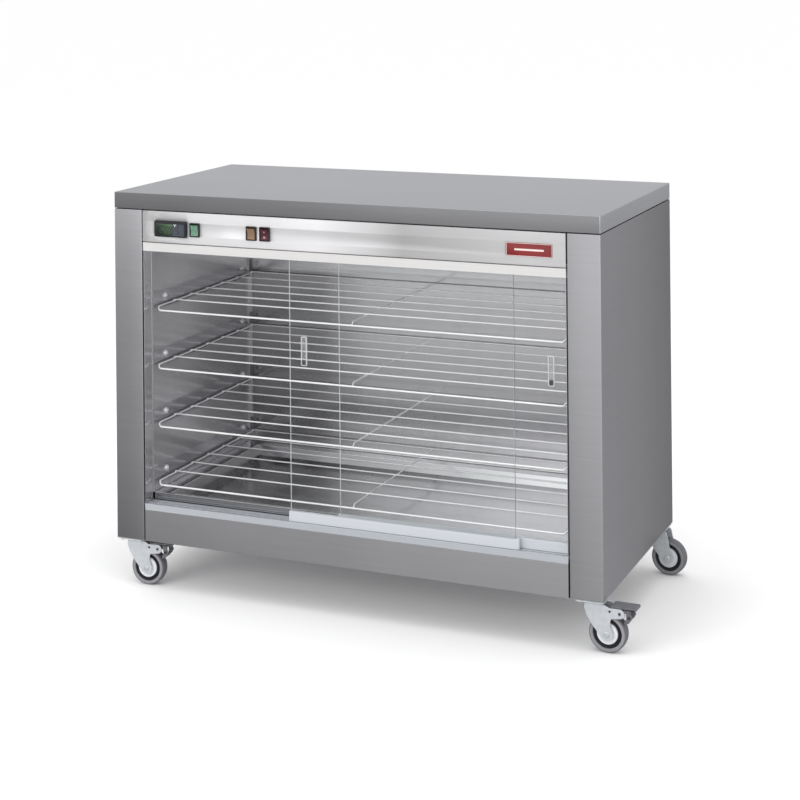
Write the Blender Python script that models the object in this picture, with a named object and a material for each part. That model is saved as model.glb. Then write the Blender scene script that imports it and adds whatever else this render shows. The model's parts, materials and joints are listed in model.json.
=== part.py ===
"""Proofing cabinet on casters: steel body, sliding glass doors, four wire racks.

Metres, +Z up, front towards -Y. The origin is on the floor, under the middle of
the overall outline, which includes the casters trailing out on the right.
"""

import math

import bmesh
import bpy
from mathutils import Matrix, Vector

# Overall body
BODY_WIDTH = 1.150
BODY_DEPTH = 0.562
BODY_HEIGHT = 0.7875
CASTER_HEIGHT = 0.108
LEFT = -0.607
RIGHT = LEFT + BODY_WIDTH
CENTRE_X = (LEFT + RIGHT) / 2
FRONT = -0.281
BACK = FRONT + BODY_DEPTH
BASE_Z = CASTER_HEIGHT
TOP_Z = BASE_Z + BODY_HEIGHT
GAP = 0.0003
SHEET = 0.0012

# Worktop and outer panels
WORKTOP_FOLD = 0.0364
WORKTOP_EDGE_RADIUS = 0.0018
WORKTOP_GAP = 0.0020
SHELL_TOP = TOP_Z - WORKTOP_FOLD - WORKTOP_GAP
BASE_SHEET = 0.0015
SHELL_BOTTOM = BASE_Z + BASE_SHEET + GAP
POST_WIDTH = 0.0718
POST_RETURN = 0.028
POST_BEND = 0.0030
REAR_FLANGE = 0.018
PLINTH_HEIGHT = 0.0697

# Door opening, measured up from the underside of the body; a dark seam parts it from the posts
FRAME_SEAM = 0.0026
OPENING_LEFT = LEFT + POST_WIDTH + FRAME_SEAM
OPENING_RIGHT = RIGHT - POST_WIDTH - FRAME_SEAM
TRACK_BOTTOM = BASE_Z + 0.070
TRACK_FLOOR = BASE_Z + 0.078
TRACK_TOP = BASE_Z + 0.0845
TRACK_DEPTH = 0.0365
TRACK_LIP = 0.0015
HEAD_BOTTOM = BASE_Z + 0.657
HEAD_TOP = BASE_Z + 0.6763
HEAD_WEB = 0.006
FRONT_DOOR_Y = FRONT + 0.009
REAR_DOOR_Y = FRONT + 0.023
KEEL_SLOT = 0.005
HEAD_SLOT = 0.008

# Doors
GLASS_THICKNESS = 0.004
GLASS_WIDTH = 0.520
GLASS_BOTTOM = BASE_Z + 0.0975
GLASS_TOP = BASE_Z + 0.668
FRONT_SHOE_WIDTH = 0.531
REAR_SHOE_WIDTH = 0.525
GLASS_INSET = 0.003
SHOE_BOTTOM = BASE_Z + 0.0853
SHOE_TOP = BASE_Z + 0.107
SHOE_HALF_DEPTH = 0.0045
SHOE_SLOT_HALF = 0.00235
SHOE_SLOT_FLOOR = BASE_Z + 0.097
KEEL_HALF = 0.0015
KEEL_BOTTOM = BASE_Z + 0.080
FRONT_DOOR_LEFT = LEFT + 0.436
REAR_DOOR_LEFT = LEFT + 0.5485
HANDLE_WIDTH = 0.014
HANDLE_THICKNESS = 0.0045
HANDLE_BOTTOM = BASE_Z + 0.4275
HANDLE_HEIGHT = 0.064
HANDLE_RIBS = 9
HANDLE_RIB_DEPTH = 0.0011
FRONT_HANDLE_INSET = 0.040
REAR_HANDLE_INSET = 0.0365

# Chamber lining; each side sheet runs forward as a door jamb and turns in at the back
LINER_LEFT = LEFT + 0.0772
LINER_RIGHT = RIGHT - 0.0772
LINER_FRONT = FRONT + 0.0335
LINER_BACK = FRONT + 0.507
LINER_FLANGE_EDGE = LEFT + 0.088
LINER_FLANGE_GAP = 0.0025
JAMB_FRONT = FRONT + 0.002
JAMB_BOTTOM = TRACK_TOP + GAP
JAMB_TOP = HEAD_BOTTOM - GAP
LINER_BOTTOM = BASE_Z + 0.1013
CEILING_Z = BASE_Z + 0.6793

# Floor pan
PAN_RIM_Z = BASE_Z + 0.101
PAN_LEFT = LEFT + 0.078
PAN_RIGHT = RIGHT - 0.078
PAN_FRONT = FRONT + 0.037
PAN_BACK = FRONT + 0.505
PAN_SIDE_RIM = 0.038
PAN_FRONT_RIM = 0.009
PAN_BACK_RIM = 0.030
PAN_DEPTH = 0.024
PAN_WALL_SLOPE = 0.006
PAN_SKIRT = 0.015

# Heating element under the pan
ELEMENT_RADIUS = 0.00425
ELEMENT_Z = BASE_Z + 0.045
ELEMENT_LEGS = 4
ELEMENT_PITCH = 0.090
ELEMENT_REACH = 0.360
ELEMENT_BEND_STEPS = 6

# Wire racks and their hangers
RACK_LEVELS = (0.1206, 0.2533, 0.3860, 0.5187)
RACK_SIDE = 0.088
RACK_FRONT = FRONT + 0.038
RACK_BACK = FRONT + 0.500
RACK_CORNER_RADIUS = 0.008
FRONT_WIRE_DIP = 0.0075
FRONT_WIRE_DROP = 0.0025
FRAME_WIRE = 0.0022
CROSS_WIRE = 0.0017
CROSS_WIRE_LIFT = 0.0033
CROSS_WIRES = 6
HANGER_FRONT = FRONT + 0.035
LEDGE_FRONT = FRONT + 0.0520
HANGER_BACK = FRONT + 0.484
HANGER_SHEET = 0.0015
HANGER_LEDGE = 0.0180
LEDGE_STUB = 0.0021
HANGER_RISE = 0.035
STUD_OFFSETS = (0.088, 0.465)
STUD_RISE = 0.0222
STUD_RADIUS = 0.0048
STUD_HEAD = 0.0036

# Control panel and its fittings, placed from the left side and the underside
PANEL_BOTTOM = BASE_Z + 0.6777
PANEL_RETURN = 0.031
PANEL_TOP_RETURN = 0.012
CONTROLS_Z = BASE_Z + 0.7105
THERMOSTAT_X = LEFT + 0.1493
THERMOSTAT_WIDTH = 0.0810
THERMOSTAT_HEIGHT = 0.0360
THERMOSTAT_PROUD = 0.0080
THERMOSTAT_EDGE = 0.0010
THERMOSTAT_BODY_WIDTH = 0.071
THERMOSTAT_BODY_HEIGHT = 0.029
THERMOSTAT_BODY_DEPTH = 0.055
CUTOUT_CLEARANCE = 0.0006
KEY_SIZE = 0.0062
KEY_POCKET = 0.0070
KEY_PROUD = 0.0010
KEY_DEPTH = 0.0022
KEY_POCKET_DEPTH = 0.0034
KEY_X_OFFSET = 0.0170
KEY_Z_OFFSETS = (0.0065, -0.0065)
SWITCH_XS = (LEFT + 0.2093, LEFT + 0.3515, LEFT + 0.3846)
SWITCH_WIDTH = 0.0255
SWITCH_HEIGHT = 0.0315
SWITCH_PROUD = 0.0040
SWITCH_EDGE = 0.0008
SWITCH_BODY_WIDTH = 0.0220
SWITCH_BODY_HEIGHT = 0.0286
SWITCH_BODY_DEPTH = 0.020
SWITCH_POCKET_WIDTH = 0.0192
SWITCH_POCKET_HEIGHT = 0.0264
SWITCH_POCKET_DEPTH = 0.010
ROCKER_WIDTH = 0.0184
ROCKER_HALF_HEIGHT = 0.0121
ROCKER_PROUD = 0.0050
ROCKER_DIP = 0.0026
ROCKER_PIVOT = 0.0020
ROCKER_TILT = math.radians(8)
ROCKER_WAIST = 0.0006
ROCKER_HEEL = 0.0010
ROCKER_BACK = 0.0035
BADGE_X = LEFT + 0.9974
BADGE_WIDTH = 0.101
BADGE_HEIGHT = 0.028
BADGE_THICKNESS = 0.0015

# Casters: u runs from the swivel towards the trailing wheel, v across the wheel
SWIVEL_INSET = 0.032
PLATE_HALF = 0.031
PLATE_CORNER = 0.004
PLATE_THICKNESS = 0.003
PLATE_BOLT_OFFSET = 0.022
PLATE_BOLT_RADIUS = 0.0050
PLATE_BOLT_HEAD = 0.0032
RACE_RADIUS = 0.019
RACE_BOTTOM = -0.0070
FORK_TOP = -0.0073
FORK_SHEET = 0.0025
FORK_HALF = 0.0173
FORK_NOSE = -0.015
FORK_NOSE_LOW = -0.020
FORK_CROWN_END = 0.027
TRAIL = 0.0335
AXLE_Z = -0.068
AXLE_RADIUS = 0.004
AXLE_HEAD_RADIUS = 0.0065
AXLE_HEAD = 0.0040
BOSS_RADIUS = 0.0135
HORN_U = 0.062
HORN_Z = -0.0225
HORN_RADIUS = 0.010
HORN_PIN_RADIUS = 0.0025
HORN_PIN_HOLE = 0.0029
HORN_PIN_HALF = 0.0190
WHEEL_RADIUS = 0.040
WHEEL_SEGMENTS = 32
HUB_BORE = 0.00435
HUB_COVER_RADIUS = 0.0225
HUB_RIM_RADIUS = 0.029
HUB_NOSE_HALF = 0.0136
HUB_COVER_HALF = 0.0120
HUB_RIM_HALF = 0.0100
TYRE_HALF = 0.0123
PEDAL_START = 0.043
PEDAL_END = 0.096
PEDAL_TOP = -0.0092
PEDAL_SHEET = 0.0025
PEDAL_HALF = 0.0173
PEDAL_LIP = 0.0020
PEDAL_CROWN = 0.0012
PEDAL_EAR_OUTER = 0.0142
PEDAL_EAR_SHEET = 0.0022
PIN_HEAD_RADIUS = HORN_PIN_RADIUS * 1.7
PIN_HEAD_END = HORN_PIN_HALF + 0.0010

# Outlines in (u, z), below the mounting face
FORK_SHOULDER = ((0.0400, -0.0145),)
FORK_THROAT = ((0.0430, -0.0365), (0.0400, -0.0400), (0.0410, -0.0480))
FORK_PLAIN_BACK = ((0.0320, -0.0110), (0.0365, -0.0300), (0.0400, -0.0480))
FORK_LEADING_EDGE = ((0.0110, -0.0610), (-0.0030, -0.0460), (-0.0100, -0.0340))
PEDAL_EAR = (
    (0.0560, -0.0270),
    (0.0660, -0.0400),
    (0.0740, -0.0460),
    (0.0810, -0.0400),
    (0.0780, -0.0300),
)
PEDAL_EAR_TOP = (0.0560, 0.0740)
PEDAL_BLOCK = ((0.0690, -0.0360), (0.0710, -0.0455), (0.0790, -0.0400), (0.0770, -0.0320))
CASTERS = (
    ("front_left", LEFT + SWIVEL_INSET, FRONT + SWIVEL_INSET, 3.0, True),
    ("front_right", RIGHT - SWIVEL_INSET, FRONT + SWIVEL_INSET, -2.0, True),
    ("rear_left", LEFT + SWIVEL_INSET, BACK - SWIVEL_INSET, -4.0, False),
    ("rear_right", RIGHT - SWIVEL_INSET, BACK - SWIVEL_INSET, -6.0, False),
)

MATERIALS = {
    "steel": ((0.62, 0.62, 0.63, 1.0), 1.0, 0.32),
    "liner_steel": ((0.66, 0.66, 0.67, 1.0), 1.0, 0.28),
    "aluminium": ((0.80, 0.81, 0.82, 1.0), 1.0, 0.35),
    "chrome": ((0.78, 0.78, 0.80, 1.0), 1.0, 0.12),
    "zinc": ((0.66, 0.69, 0.70, 1.0), 1.0, 0.38),
    "glass": ((0.86, 0.93, 0.91, 1.0), 0.0, 0.03),
    "clear_plastic": ((0.80, 0.82, 0.82, 1.0), 0.0, 0.20),
    "black_plastic": ((0.03, 0.03, 0.03, 1.0), 0.0, 0.40),
    "green_lens": ((0.02, 0.30, 0.18, 1.0), 0.0, 0.25),
    "orange_lens": ((0.72, 0.36, 0.12, 1.0), 0.0, 0.25),
    "red_lens": ((0.30, 0.02, 0.04, 1.0), 0.0, 0.25),
    "red_badge": ((0.60, 0.05, 0.04, 1.0), 0.0, 0.30),
    "hub_plastic": ((0.74, 0.75, 0.75, 1.0), 0.0, 0.45),
    "grey_rubber": ((0.24, 0.24, 0.26, 1.0), 0.0, 0.70),
    "element_steel": ((0.20, 0.19, 0.18, 1.0), 1.0, 0.45),
}


def clear_scene():
    for item in list(bpy.data.objects):
        bpy.data.objects.remove(item, do_unlink=True)


def material(name):
    found = bpy.data.materials.get(name)
    if found:
        return found
    colour, metallic, roughness = MATERIALS[name]
    made = bpy.data.materials.new(name)
    made.use_nodes = True
    shader = made.node_tree.nodes["Principled BSDF"]
    shader.inputs["Base Color"].default_value = colour
    shader.inputs["Metallic"].default_value = metallic
    shader.inputs["Roughness"].default_value = roughness
    return made


def add_object(name, bm, slot, pivot=(0, 0, 0), turn=0.0, smooth=False):
    """Make an object from bm, whose points are given relative to the pivot."""
    bmesh.ops.recalc_face_normals(bm, faces=bm.faces)
    mesh = bpy.data.meshes.new(name)
    bm.to_mesh(mesh)
    bm.free()
    mesh.materials.append(material(slot))
    for face in mesh.polygons:
        face.use_smooth = smooth
    made = bpy.data.objects.new(name, mesh)
    made.location = pivot
    made.rotation_euler = (0, 0, turn)
    bpy.context.scene.collection.objects.link(made)
    return made


def add_tool(name, bm, pivot=(0, 0, 0), turn=0.0):
    tool = add_object(name, bm, "steel", pivot, turn)
    tool.hide_render = True
    tool.display_type = "WIRE"
    return tool


def combine(target, tool, operation):
    step = target.modifiers.new(operation.lower(), "BOOLEAN")
    step.operation = operation
    step.solver = "EXACT"
    step.object = tool


def add_rings(bm, rings, closed=False):
    """Skin a stack of equal-length rings; ends are capped unless closed."""
    loops = [[bm.verts.new(p) for p in ring] for ring in rings]
    count = len(loops[0])
    pairs = list(zip(loops[:-1], loops[1:]))
    if closed:
        pairs.append((loops[-1], loops[0]))
    for lower, upper in pairs:
        for i in range(count):
            j = (i + 1) % count
            bm.faces.new((lower[i], lower[j], upper[j], upper[i]))
    if not closed:
        bm.faces.new(loops[0][::-1])
        bm.faces.new(loops[-1])


def add_box(bm, low, high):
    (x0, y0, z0), (x1, y1, z1) = low, high
    corners = ((x0, y0), (x1, y0), (x1, y1), (x0, y1))
    add_rings(bm, [[(x, y, z) for x, y in corners] for z in (z0, z1)])


def box(low, high):
    bm = bmesh.new()
    add_box(bm, low, high)
    return bm


def add_prism(bm, outline, axis, start, end):
    """Extrude a closed outline; axis x takes (y, z), y takes (x, z), z takes (x, y)."""
    place = {
        "x": lambda a, b, t: (t, a, b),
        "y": lambda a, b, t: (a, t, b),
        "z": lambda a, b, t: (a, b, t),
    }[axis]
    add_rings(bm, [[place(a, b, t) for a, b in outline] for t in (start, end)])


def prism(outline, axis, start, end):
    bm = bmesh.new()
    add_prism(bm, outline, axis, start, end)
    return bm


def arc(centre, radius, start, end, steps):
    """Points on an arc, angles in degrees."""
    points = []
    for i in range(steps + 1):
        angle = math.radians(start + (end - start) * i / steps)
        points.append(
            (centre[0] + radius * math.cos(angle), centre[1] + radius * math.sin(angle))
        )
    return points


def round_corner(before, corner, after, radius, steps):
    """Arc points that replace a right-angled corner of a path."""
    incoming = (Vector(before) - Vector(corner)).normalized()
    outgoing = (Vector(after) - Vector(corner)).normalized()
    centre = Vector(corner) + radius * (incoming + outgoing)
    points = []
    for i in range(steps + 1):
        angle = math.pi / 2 * i / steps
        offset = -outgoing * math.cos(angle) - incoming * math.sin(angle)
        points.append(tuple(centre + radius * offset))
    return points


def bent_path(corners, radii, steps=3):
    points = [tuple(corners[0])]
    for i in range(1, len(corners) - 1):
        points += round_corner(corners[i - 1], corners[i], corners[i + 1], radii[i - 1], steps)
    points.append(tuple(corners[-1]))
    return points


def strip_outline(path, thickness):
    """Outline of a folded sheet: the path, and the path offset to its left."""
    offset = []
    for i, point in enumerate(path):
        here = Vector(point)
        first = (here - Vector(path[i - 1])).normalized() if i else None
        last = (Vector(path[i + 1]) - here).normalized() if i + 1 < len(path) else None
        first = first or last
        last = last or first
        normal = Vector((-first.y - last.y, first.x + last.x)).normalized()
        stretch = normal.dot(Vector((-first.y, first.x)))
        offset.append(tuple(here + normal * thickness / stretch))
    return list(path) + offset[::-1]


def add_turned(bm, profile, centre, axis, segments, closed=False):
    """Turn a (radius, distance along axis) profile; closed profiles make a ring."""
    place = {
        "x": lambda r, t, c, s: (t, r * c, r * s),
        "y": lambda r, t, c, s: (r * s, t, r * c),
        "z": lambda r, t, c, s: (r * c, r * s, t),
    }[axis]
    rings = []
    for radius, along in profile:
        ring = []
        for i in range(segments):
            angle = 2 * math.pi * (i + 0.5) / segments
            point = place(radius, along, math.cos(angle), math.sin(angle))
            ring.append(tuple(Vector(centre) + Vector(point)))
        rings.append(ring)
    add_rings(bm, rings, closed)


def turned(profile, centre, axis, segments, closed=False):
    bm = bmesh.new()
    add_turned(bm, profile, centre, axis, segments, closed)
    return bm


def add_wire(bm, points, radius, sides=8):
    """Round wire along points that run level or nearly so."""
    rings = []
    count = len(points)
    for i in range(count):
        here = Vector(points[i])
        before = Vector(points[i - 1]) if i else here
        after = Vector(points[i + 1]) if i + 1 < count else here
        inward = (here - before).normalized() if before != here else None
        onward = (after - here).normalized() if after != here else None
        inward = inward or onward
        onward = onward or inward
        forward = (inward + onward).normalized()
        side = forward.cross(Vector((0, 0, 1)))
        stretch = 1 / max(0.5, forward.dot(inward))
        ring = []
        for k in range(sides):
            angle = 2 * math.pi * (k + 0.5) / sides
            across = side * (radius * stretch * math.cos(angle))
            ring.append(here + across + Vector((0, 0, radius * math.sin(angle))))
        rings.append(ring)
    add_rings(bm, rings)


def mirrored(points):
    """Mirror (x, y) points about the cabinet's centre line."""
    return [(2 * CENTRE_X - x, y) for x, y in points]


def build_worktop():
    def ring(inset, z):
        low_x, high_x = LEFT + inset, RIGHT - inset
        low_y, high_y = FRONT + inset, BACK - inset
        return [(low_x, low_y, z), (high_x, low_y, z), (high_x, high_y, z), (low_x, high_y, z)]

    r = WORKTOP_EDGE_RADIUS
    lower = TOP_Z - WORKTOP_FOLD
    bm = bmesh.new()
    rings = [ring(SHEET, TOP_Z - SHEET), ring(SHEET, lower), ring(0, lower)]
    for degrees in (0, 30, 60, 90):
        angle = math.radians(degrees)
        rings.append(ring(r * (1 - math.cos(angle)), TOP_Z - r * (1 - math.sin(angle))))
    add_rings(bm, rings)
    add_object("worktop", bm, "steel")


def build_side_panels():
    rear = BACK - SHEET - GAP
    corners = [
        (LEFT + REAR_FLANGE, rear),
        (LEFT, rear),
        (LEFT, FRONT),
        (LEFT + POST_WIDTH, FRONT),
        (LEFT + POST_WIDTH, FRONT + POST_RETURN),
    ]
    path = bent_path(corners, (POST_BEND, POST_BEND, POST_BEND * 0.6))
    outline = strip_outline(path, SHEET)
    add_object("left_side_panel", prism(outline, "z", SHELL_BOTTOM, SHELL_TOP), "steel")
    outline = mirrored(outline)
    add_object("right_side_panel", prism(outline, "z", SHELL_BOTTOM, SHELL_TOP), "steel")


def build_back_and_base():
    low = (LEFT, BACK - SHEET, SHELL_BOTTOM)
    add_object("back_panel", box(low, (RIGHT, BACK, SHELL_TOP)), "steel")
    floor_high = (RIGHT, BACK, BASE_Z + BASE_SHEET)
    base = add_object("base_panel", box((LEFT, FRONT, BASE_Z), floor_high), "steel")
    low = (OPENING_LEFT, FRONT, BASE_Z)
    high = (OPENING_RIGHT, FRONT + SHEET, BASE_Z + PLINTH_HEIGHT)
    combine(base, add_tool("plinth_fold", box(low, high)), "UNION")


def build_liners():
    flange_y = LINER_BACK - LINER_FLANGE_GAP
    corners = [
        (OPENING_LEFT - GAP, LINER_FRONT),
        (LINER_LEFT, LINER_FRONT),
        (LINER_LEFT, flange_y),
        (LINER_FLANGE_EDGE, flange_y),
    ]
    wall = strip_outline(bent_path(corners, (0.0015, 0.0015)), SHEET)
    reach = LINER_FRONT + SHEET / 2
    jamb = [(OPENING_LEFT, JAMB_FRONT), (OPENING_LEFT + SHEET, JAMB_FRONT)]
    jamb += [(OPENING_LEFT + SHEET, reach), (OPENING_LEFT, reach)]
    top = CEILING_Z - GAP
    for side in ("left", "right"):
        if side == "right":
            wall, jamb = mirrored(wall), mirrored(jamb)
        liner = add_object(side + "_liner", prism(wall, "z", LINER_BOTTOM, top), "liner_steel")
        tool = add_tool(side + "_jamb", prism(jamb, "z", JAMB_BOTTOM, JAMB_TOP))
        combine(liner, tool, "UNION")
    left = LINER_LEFT - SHEET
    right = LINER_RIGHT + SHEET
    low = (left, LINER_BACK, LINER_BOTTOM)
    add_object("back_liner", box(low, (right, LINER_BACK + SHEET, top)), "liner_steel")
    low = (left, LINER_FRONT, CEILING_Z)
    high = (right, LINER_BACK + SHEET, CEILING_Z + SHEET)
    add_object("ceiling_liner", box(low, high), "liner_steel")


def build_floor_pan():
    def ring(left, right, front, back, z):
        return [(left, front, z), (right, front, z), (right, back, z), (left, back, z)]

    in_left = PAN_LEFT + PAN_SIDE_RIM
    in_right = PAN_RIGHT - PAN_SIDE_RIM
    in_front = PAN_FRONT + PAN_FRONT_RIM
    in_back = PAN_BACK - PAN_BACK_RIM
    slope = PAN_WALL_SLOPE
    floor = PAN_RIM_Z - PAN_DEPTH
    low = in_left + slope, in_right - slope, in_front + slope, in_back - slope
    under = in_left - SHEET, in_right + SHEET, in_front - SHEET, in_back + SHEET
    under_low = low[0] - SHEET, low[1] + SHEET, low[2] - SHEET, low[3] + SHEET
    bm = bmesh.new()
    add_rings(
        bm,
        [
            ring(*low, floor),
            ring(in_left, in_right, in_front, in_back, PAN_RIM_Z),
            ring(PAN_LEFT, PAN_RIGHT, PAN_FRONT, PAN_BACK, PAN_RIM_Z),
            ring(PAN_LEFT, PAN_RIGHT, PAN_FRONT, PAN_BACK, PAN_RIM_Z - SHEET),
            ring(*under, PAN_RIM_Z - SHEET),
            ring(*under_low, floor - SHEET),
        ],
    )
    pan = add_object("floor_pan", bm, "liner_steel")
    low = (PAN_LEFT, PAN_FRONT, PAN_RIM_Z - PAN_SKIRT)
    high = (PAN_RIGHT, PAN_FRONT + SHEET, PAN_RIM_Z)
    combine(pan, add_tool("pan_skirt", box(low, high)), "UNION")


def build_heating_element():
    half = ELEMENT_PITCH / 2
    points = []
    for leg in range(ELEMENT_LEGS):
        y = (leg - (ELEMENT_LEGS - 1) / 2) * ELEMENT_PITCH
        side = 1 if leg % 2 == 0 else -1
        if leg == 0:
            points.append((CENTRE_X - ELEMENT_REACH - half, y, ELEMENT_Z))
        if leg + 1 < ELEMENT_LEGS:
            centre = (CENTRE_X + side * ELEMENT_REACH, y + half)
            end = -90 + side * 180
            bend = arc(centre, half, -90, end, ELEMENT_BEND_STEPS)
            points += [(x, py, ELEMENT_Z) for x, py in bend]
        else:
            points.append((CENTRE_X - ELEMENT_REACH - half, y, ELEMENT_Z))
    bm = bmesh.new()
    add_wire(bm, points, ELEMENT_RADIUS)
    add_object("heating_element", bm, "element_steel", smooth=True)


def build_tracks():
    front, slot = FRONT + GAP, KEEL_SLOT / 2
    rear = FRONT + TRACK_DEPTH
    under = TRACK_FLOOR - 0.003
    outline = [(front, TRACK_BOTTOM), (front, TRACK_TOP)]
    for middle in (FRONT_DOOR_Y, REAR_DOOR_Y):
        outline += [(middle - slot, TRACK_TOP), (middle - slot, TRACK_FLOOR)]
        outline += [(middle + slot, TRACK_FLOOR), (middle + slot, TRACK_TOP)]
    outline += [(rear, TRACK_TOP), (rear, under)]
    outline += [(front + TRACK_LIP, under), (front + TRACK_LIP, TRACK_BOTTOM)]
    bm = prism(outline, "x", OPENING_LEFT, OPENING_RIGHT)
    add_object("bottom_track", bm, "aluminium")

    front, slot = FRONT + 0.0005, HEAD_SLOT / 2
    rear = REAR_DOOR_Y + slot + 0.0045
    ceiling = HEAD_TOP - HEAD_WEB
    outline = [(front, HEAD_TOP), (front, HEAD_BOTTOM)]
    for middle in (FRONT_DOOR_Y, REAR_DOOR_Y):
        outline += [(middle - slot, HEAD_BOTTOM), (middle - slot, ceiling)]
        outline += [(middle + slot, ceiling), (middle + slot, HEAD_BOTTOM)]
    outline += [(rear, HEAD_BOTTOM), (rear, HEAD_TOP)]
    add_object("top_track", prism(outline, "x", OPENING_LEFT, OPENING_RIGHT), "aluminium")


def shoe_outline():
    outer, slot, keel = SHOE_HALF_DEPTH, SHOE_SLOT_HALF, KEEL_HALF
    half = [
        (keel, KEEL_BOTTOM),
        (keel, SHOE_BOTTOM),
        (outer, SHOE_BOTTOM),
        (outer, SHOE_TOP),
        (slot, SHOE_TOP),
        (slot, SHOE_SLOT_FLOOR),
    ]
    return half + [(-y, z) for y, z in half[::-1]]


def handle_outline():
    """Finger strip in (depth, height): flat back, ribbed front."""
    pitch = HANDLE_HEIGHT / (2 * HANDLE_RIBS + 1)
    deep = -HANDLE_THICKNESS
    outline = [(0, HANDLE_HEIGHT), (0, 0)]
    for i in range(2 * HANDLE_RIBS + 1):
        depth = deep if i % 2 == 0 else deep + HANDLE_RIB_DEPTH
        outline.append((depth, pitch * i))
        outline.append((depth, pitch * (i + 1)))
    return outline


def build_door(name, left, y, shoe_width, handle_x):
    """Glass pane in a bottom shoe, with a finger strip; all share one origin."""
    pivot = (left, y, 0)
    half = GLASS_THICKNESS / 2
    low = (GLASS_INSET, -half, GLASS_BOTTOM)
    high = (GLASS_INSET + GLASS_WIDTH, half, GLASS_TOP)
    add_object(name + "_glass", box(low, high), "glass", pivot)
    shoe = prism(shoe_outline(), "x", 0, shoe_width)
    add_object(name + "_shoe", shoe, "aluminium", pivot)
    outline = []
    for depth, height in handle_outline():
        outline.append((depth - half - GAP, height + HANDLE_BOTTOM))
    strip = prism(outline, "x", handle_x - HANDLE_WIDTH / 2, handle_x + HANDLE_WIDTH / 2)
    add_object(name + "_handle", strip, "clear_plastic", pivot)


def build_doors():
    front = (FRONT_DOOR_LEFT, FRONT_DOOR_Y, FRONT_SHOE_WIDTH)
    build_door("front_door", *front, FRONT_HANDLE_INSET)
    rear = (REAR_DOOR_LEFT, REAR_DOOR_Y, REAR_SHOE_WIDTH)
    build_door("rear_door", *rear, REAR_SHOE_WIDTH - REAR_HANDLE_INSET)


def rack_frame():
    """Open frame seen from the pivot: two side wires and a front wire that dips at both ends."""
    half = (RIGHT - LEFT) / 2 - RACK_SIDE
    depth = RACK_BACK - RACK_FRONT + CROSS_WIRE
    bend = round_corner((-half, depth), (-half, 0), (half, 0), RACK_CORNER_RADIUS, 4)
    left = [(-half, depth, 0)]
    for i, (x, y) in enumerate(bend):
        left.append((x, y, -FRONT_WIRE_DIP * i / (len(bend) - 1)))
    return left + [(-x, y, z) for x, y, z in left[::-1]]


def build_rack(number, level):
    """Frame wire with cross wires welded on top and one rib underneath them."""
    z = BASE_Z + level - FRONT_WIRE_DROP + FRONT_WIRE_DIP
    half = (RIGHT - LEFT) / 2 - RACK_SIDE
    pivot = Vector((CENTRE_X, RACK_FRONT, z))
    bm = bmesh.new()
    add_wire(bm, rack_frame(), FRAME_WIRE)
    rack = add_object(f"rack_{number}", bm, "chrome", pivot, smooth=True)

    bm = bmesh.new()
    pitch = (RACK_BACK - RACK_FRONT) / CROSS_WIRES
    reach = half + FRAME_WIRE * 0.8
    for i in range(CROSS_WIRES):
        y = pitch * (i + 1)
        ends = [(-reach, y, CROSS_WIRE_LIFT), (reach, y, CROSS_WIRE_LIFT)]
        add_wire(bm, ends, CROSS_WIRE, sides=6)
    combine(rack, add_tool(f"rack_{number}_cross_wires", bm, pivot), "UNION")

    bm = bmesh.new()
    depth = RACK_BACK - RACK_FRONT
    ends = [(0, 0, -FRONT_WIRE_DIP), (0, RACK_CORNER_RADIUS, 0), (0, depth, 0)]
    add_wire(bm, ends, CROSS_WIRE * 1.1, sides=6)
    combine(rack, add_tool(f"rack_{number}_rib", bm, pivot), "UNION")


def build_hangers(number, level):
    """Angle rails on both walls, ledge cut back at the front, each with two dome-headed studs."""
    wire_bottom = BASE_Z + level - FRONT_WIRE_DROP + FRONT_WIRE_DIP - FRAME_WIRE
    ledge_top = wire_bottom - GAP
    ledge_bottom = ledge_top - HANGER_SHEET
    top = BASE_Z + level + HANGER_RISE
    wall = LINER_LEFT + GAP
    stations = [(HANGER_FRONT, LEDGE_STUB), (LEDGE_FRONT, LEDGE_STUB)]
    stations += [(LEDGE_FRONT + 0.0005, HANGER_LEDGE), (HANGER_BACK, HANGER_LEDGE)]
    z = BASE_Z + level + STUD_RISE
    for side, flip in (("left", False), ("right", True)):
        rings = []
        for y, ledge in stations:
            outline = [
                (wall, top),
                (wall, ledge_bottom),
                (wall + ledge, ledge_bottom),
                (wall + ledge, ledge_top),
                (wall + HANGER_SHEET, ledge_top),
                (wall + HANGER_SHEET, top),
            ]
            shape = mirrored(outline) if flip else outline
            rings.append([(x, y, height) for x, height in shape])
        bm = bmesh.new()
        add_rings(bm, rings)
        hanger = add_object(f"hanger_{side}_{number}", bm, "liner_steel")
        face = wall + HANGER_SHEET
        inside, outside = face - 0.0005, face + STUD_HEAD
        if flip:
            inside, outside = 2 * CENTRE_X - inside, 2 * CENTRE_X - outside
        shoulder = inside + (outside - inside) * 0.55
        profile = [
            (STUD_RADIUS, inside),
            (STUD_RADIUS * 0.85, shoulder),
            (STUD_RADIUS * 0.35, outside),
        ]
        bm = bmesh.new()
        for offset in STUD_OFFSETS:
            add_turned(bm, profile, (0, FRONT + offset, z), "x", 10)
        combine(hanger, add_tool(f"studs_{side}_{number}", bm), "UNION")


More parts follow.
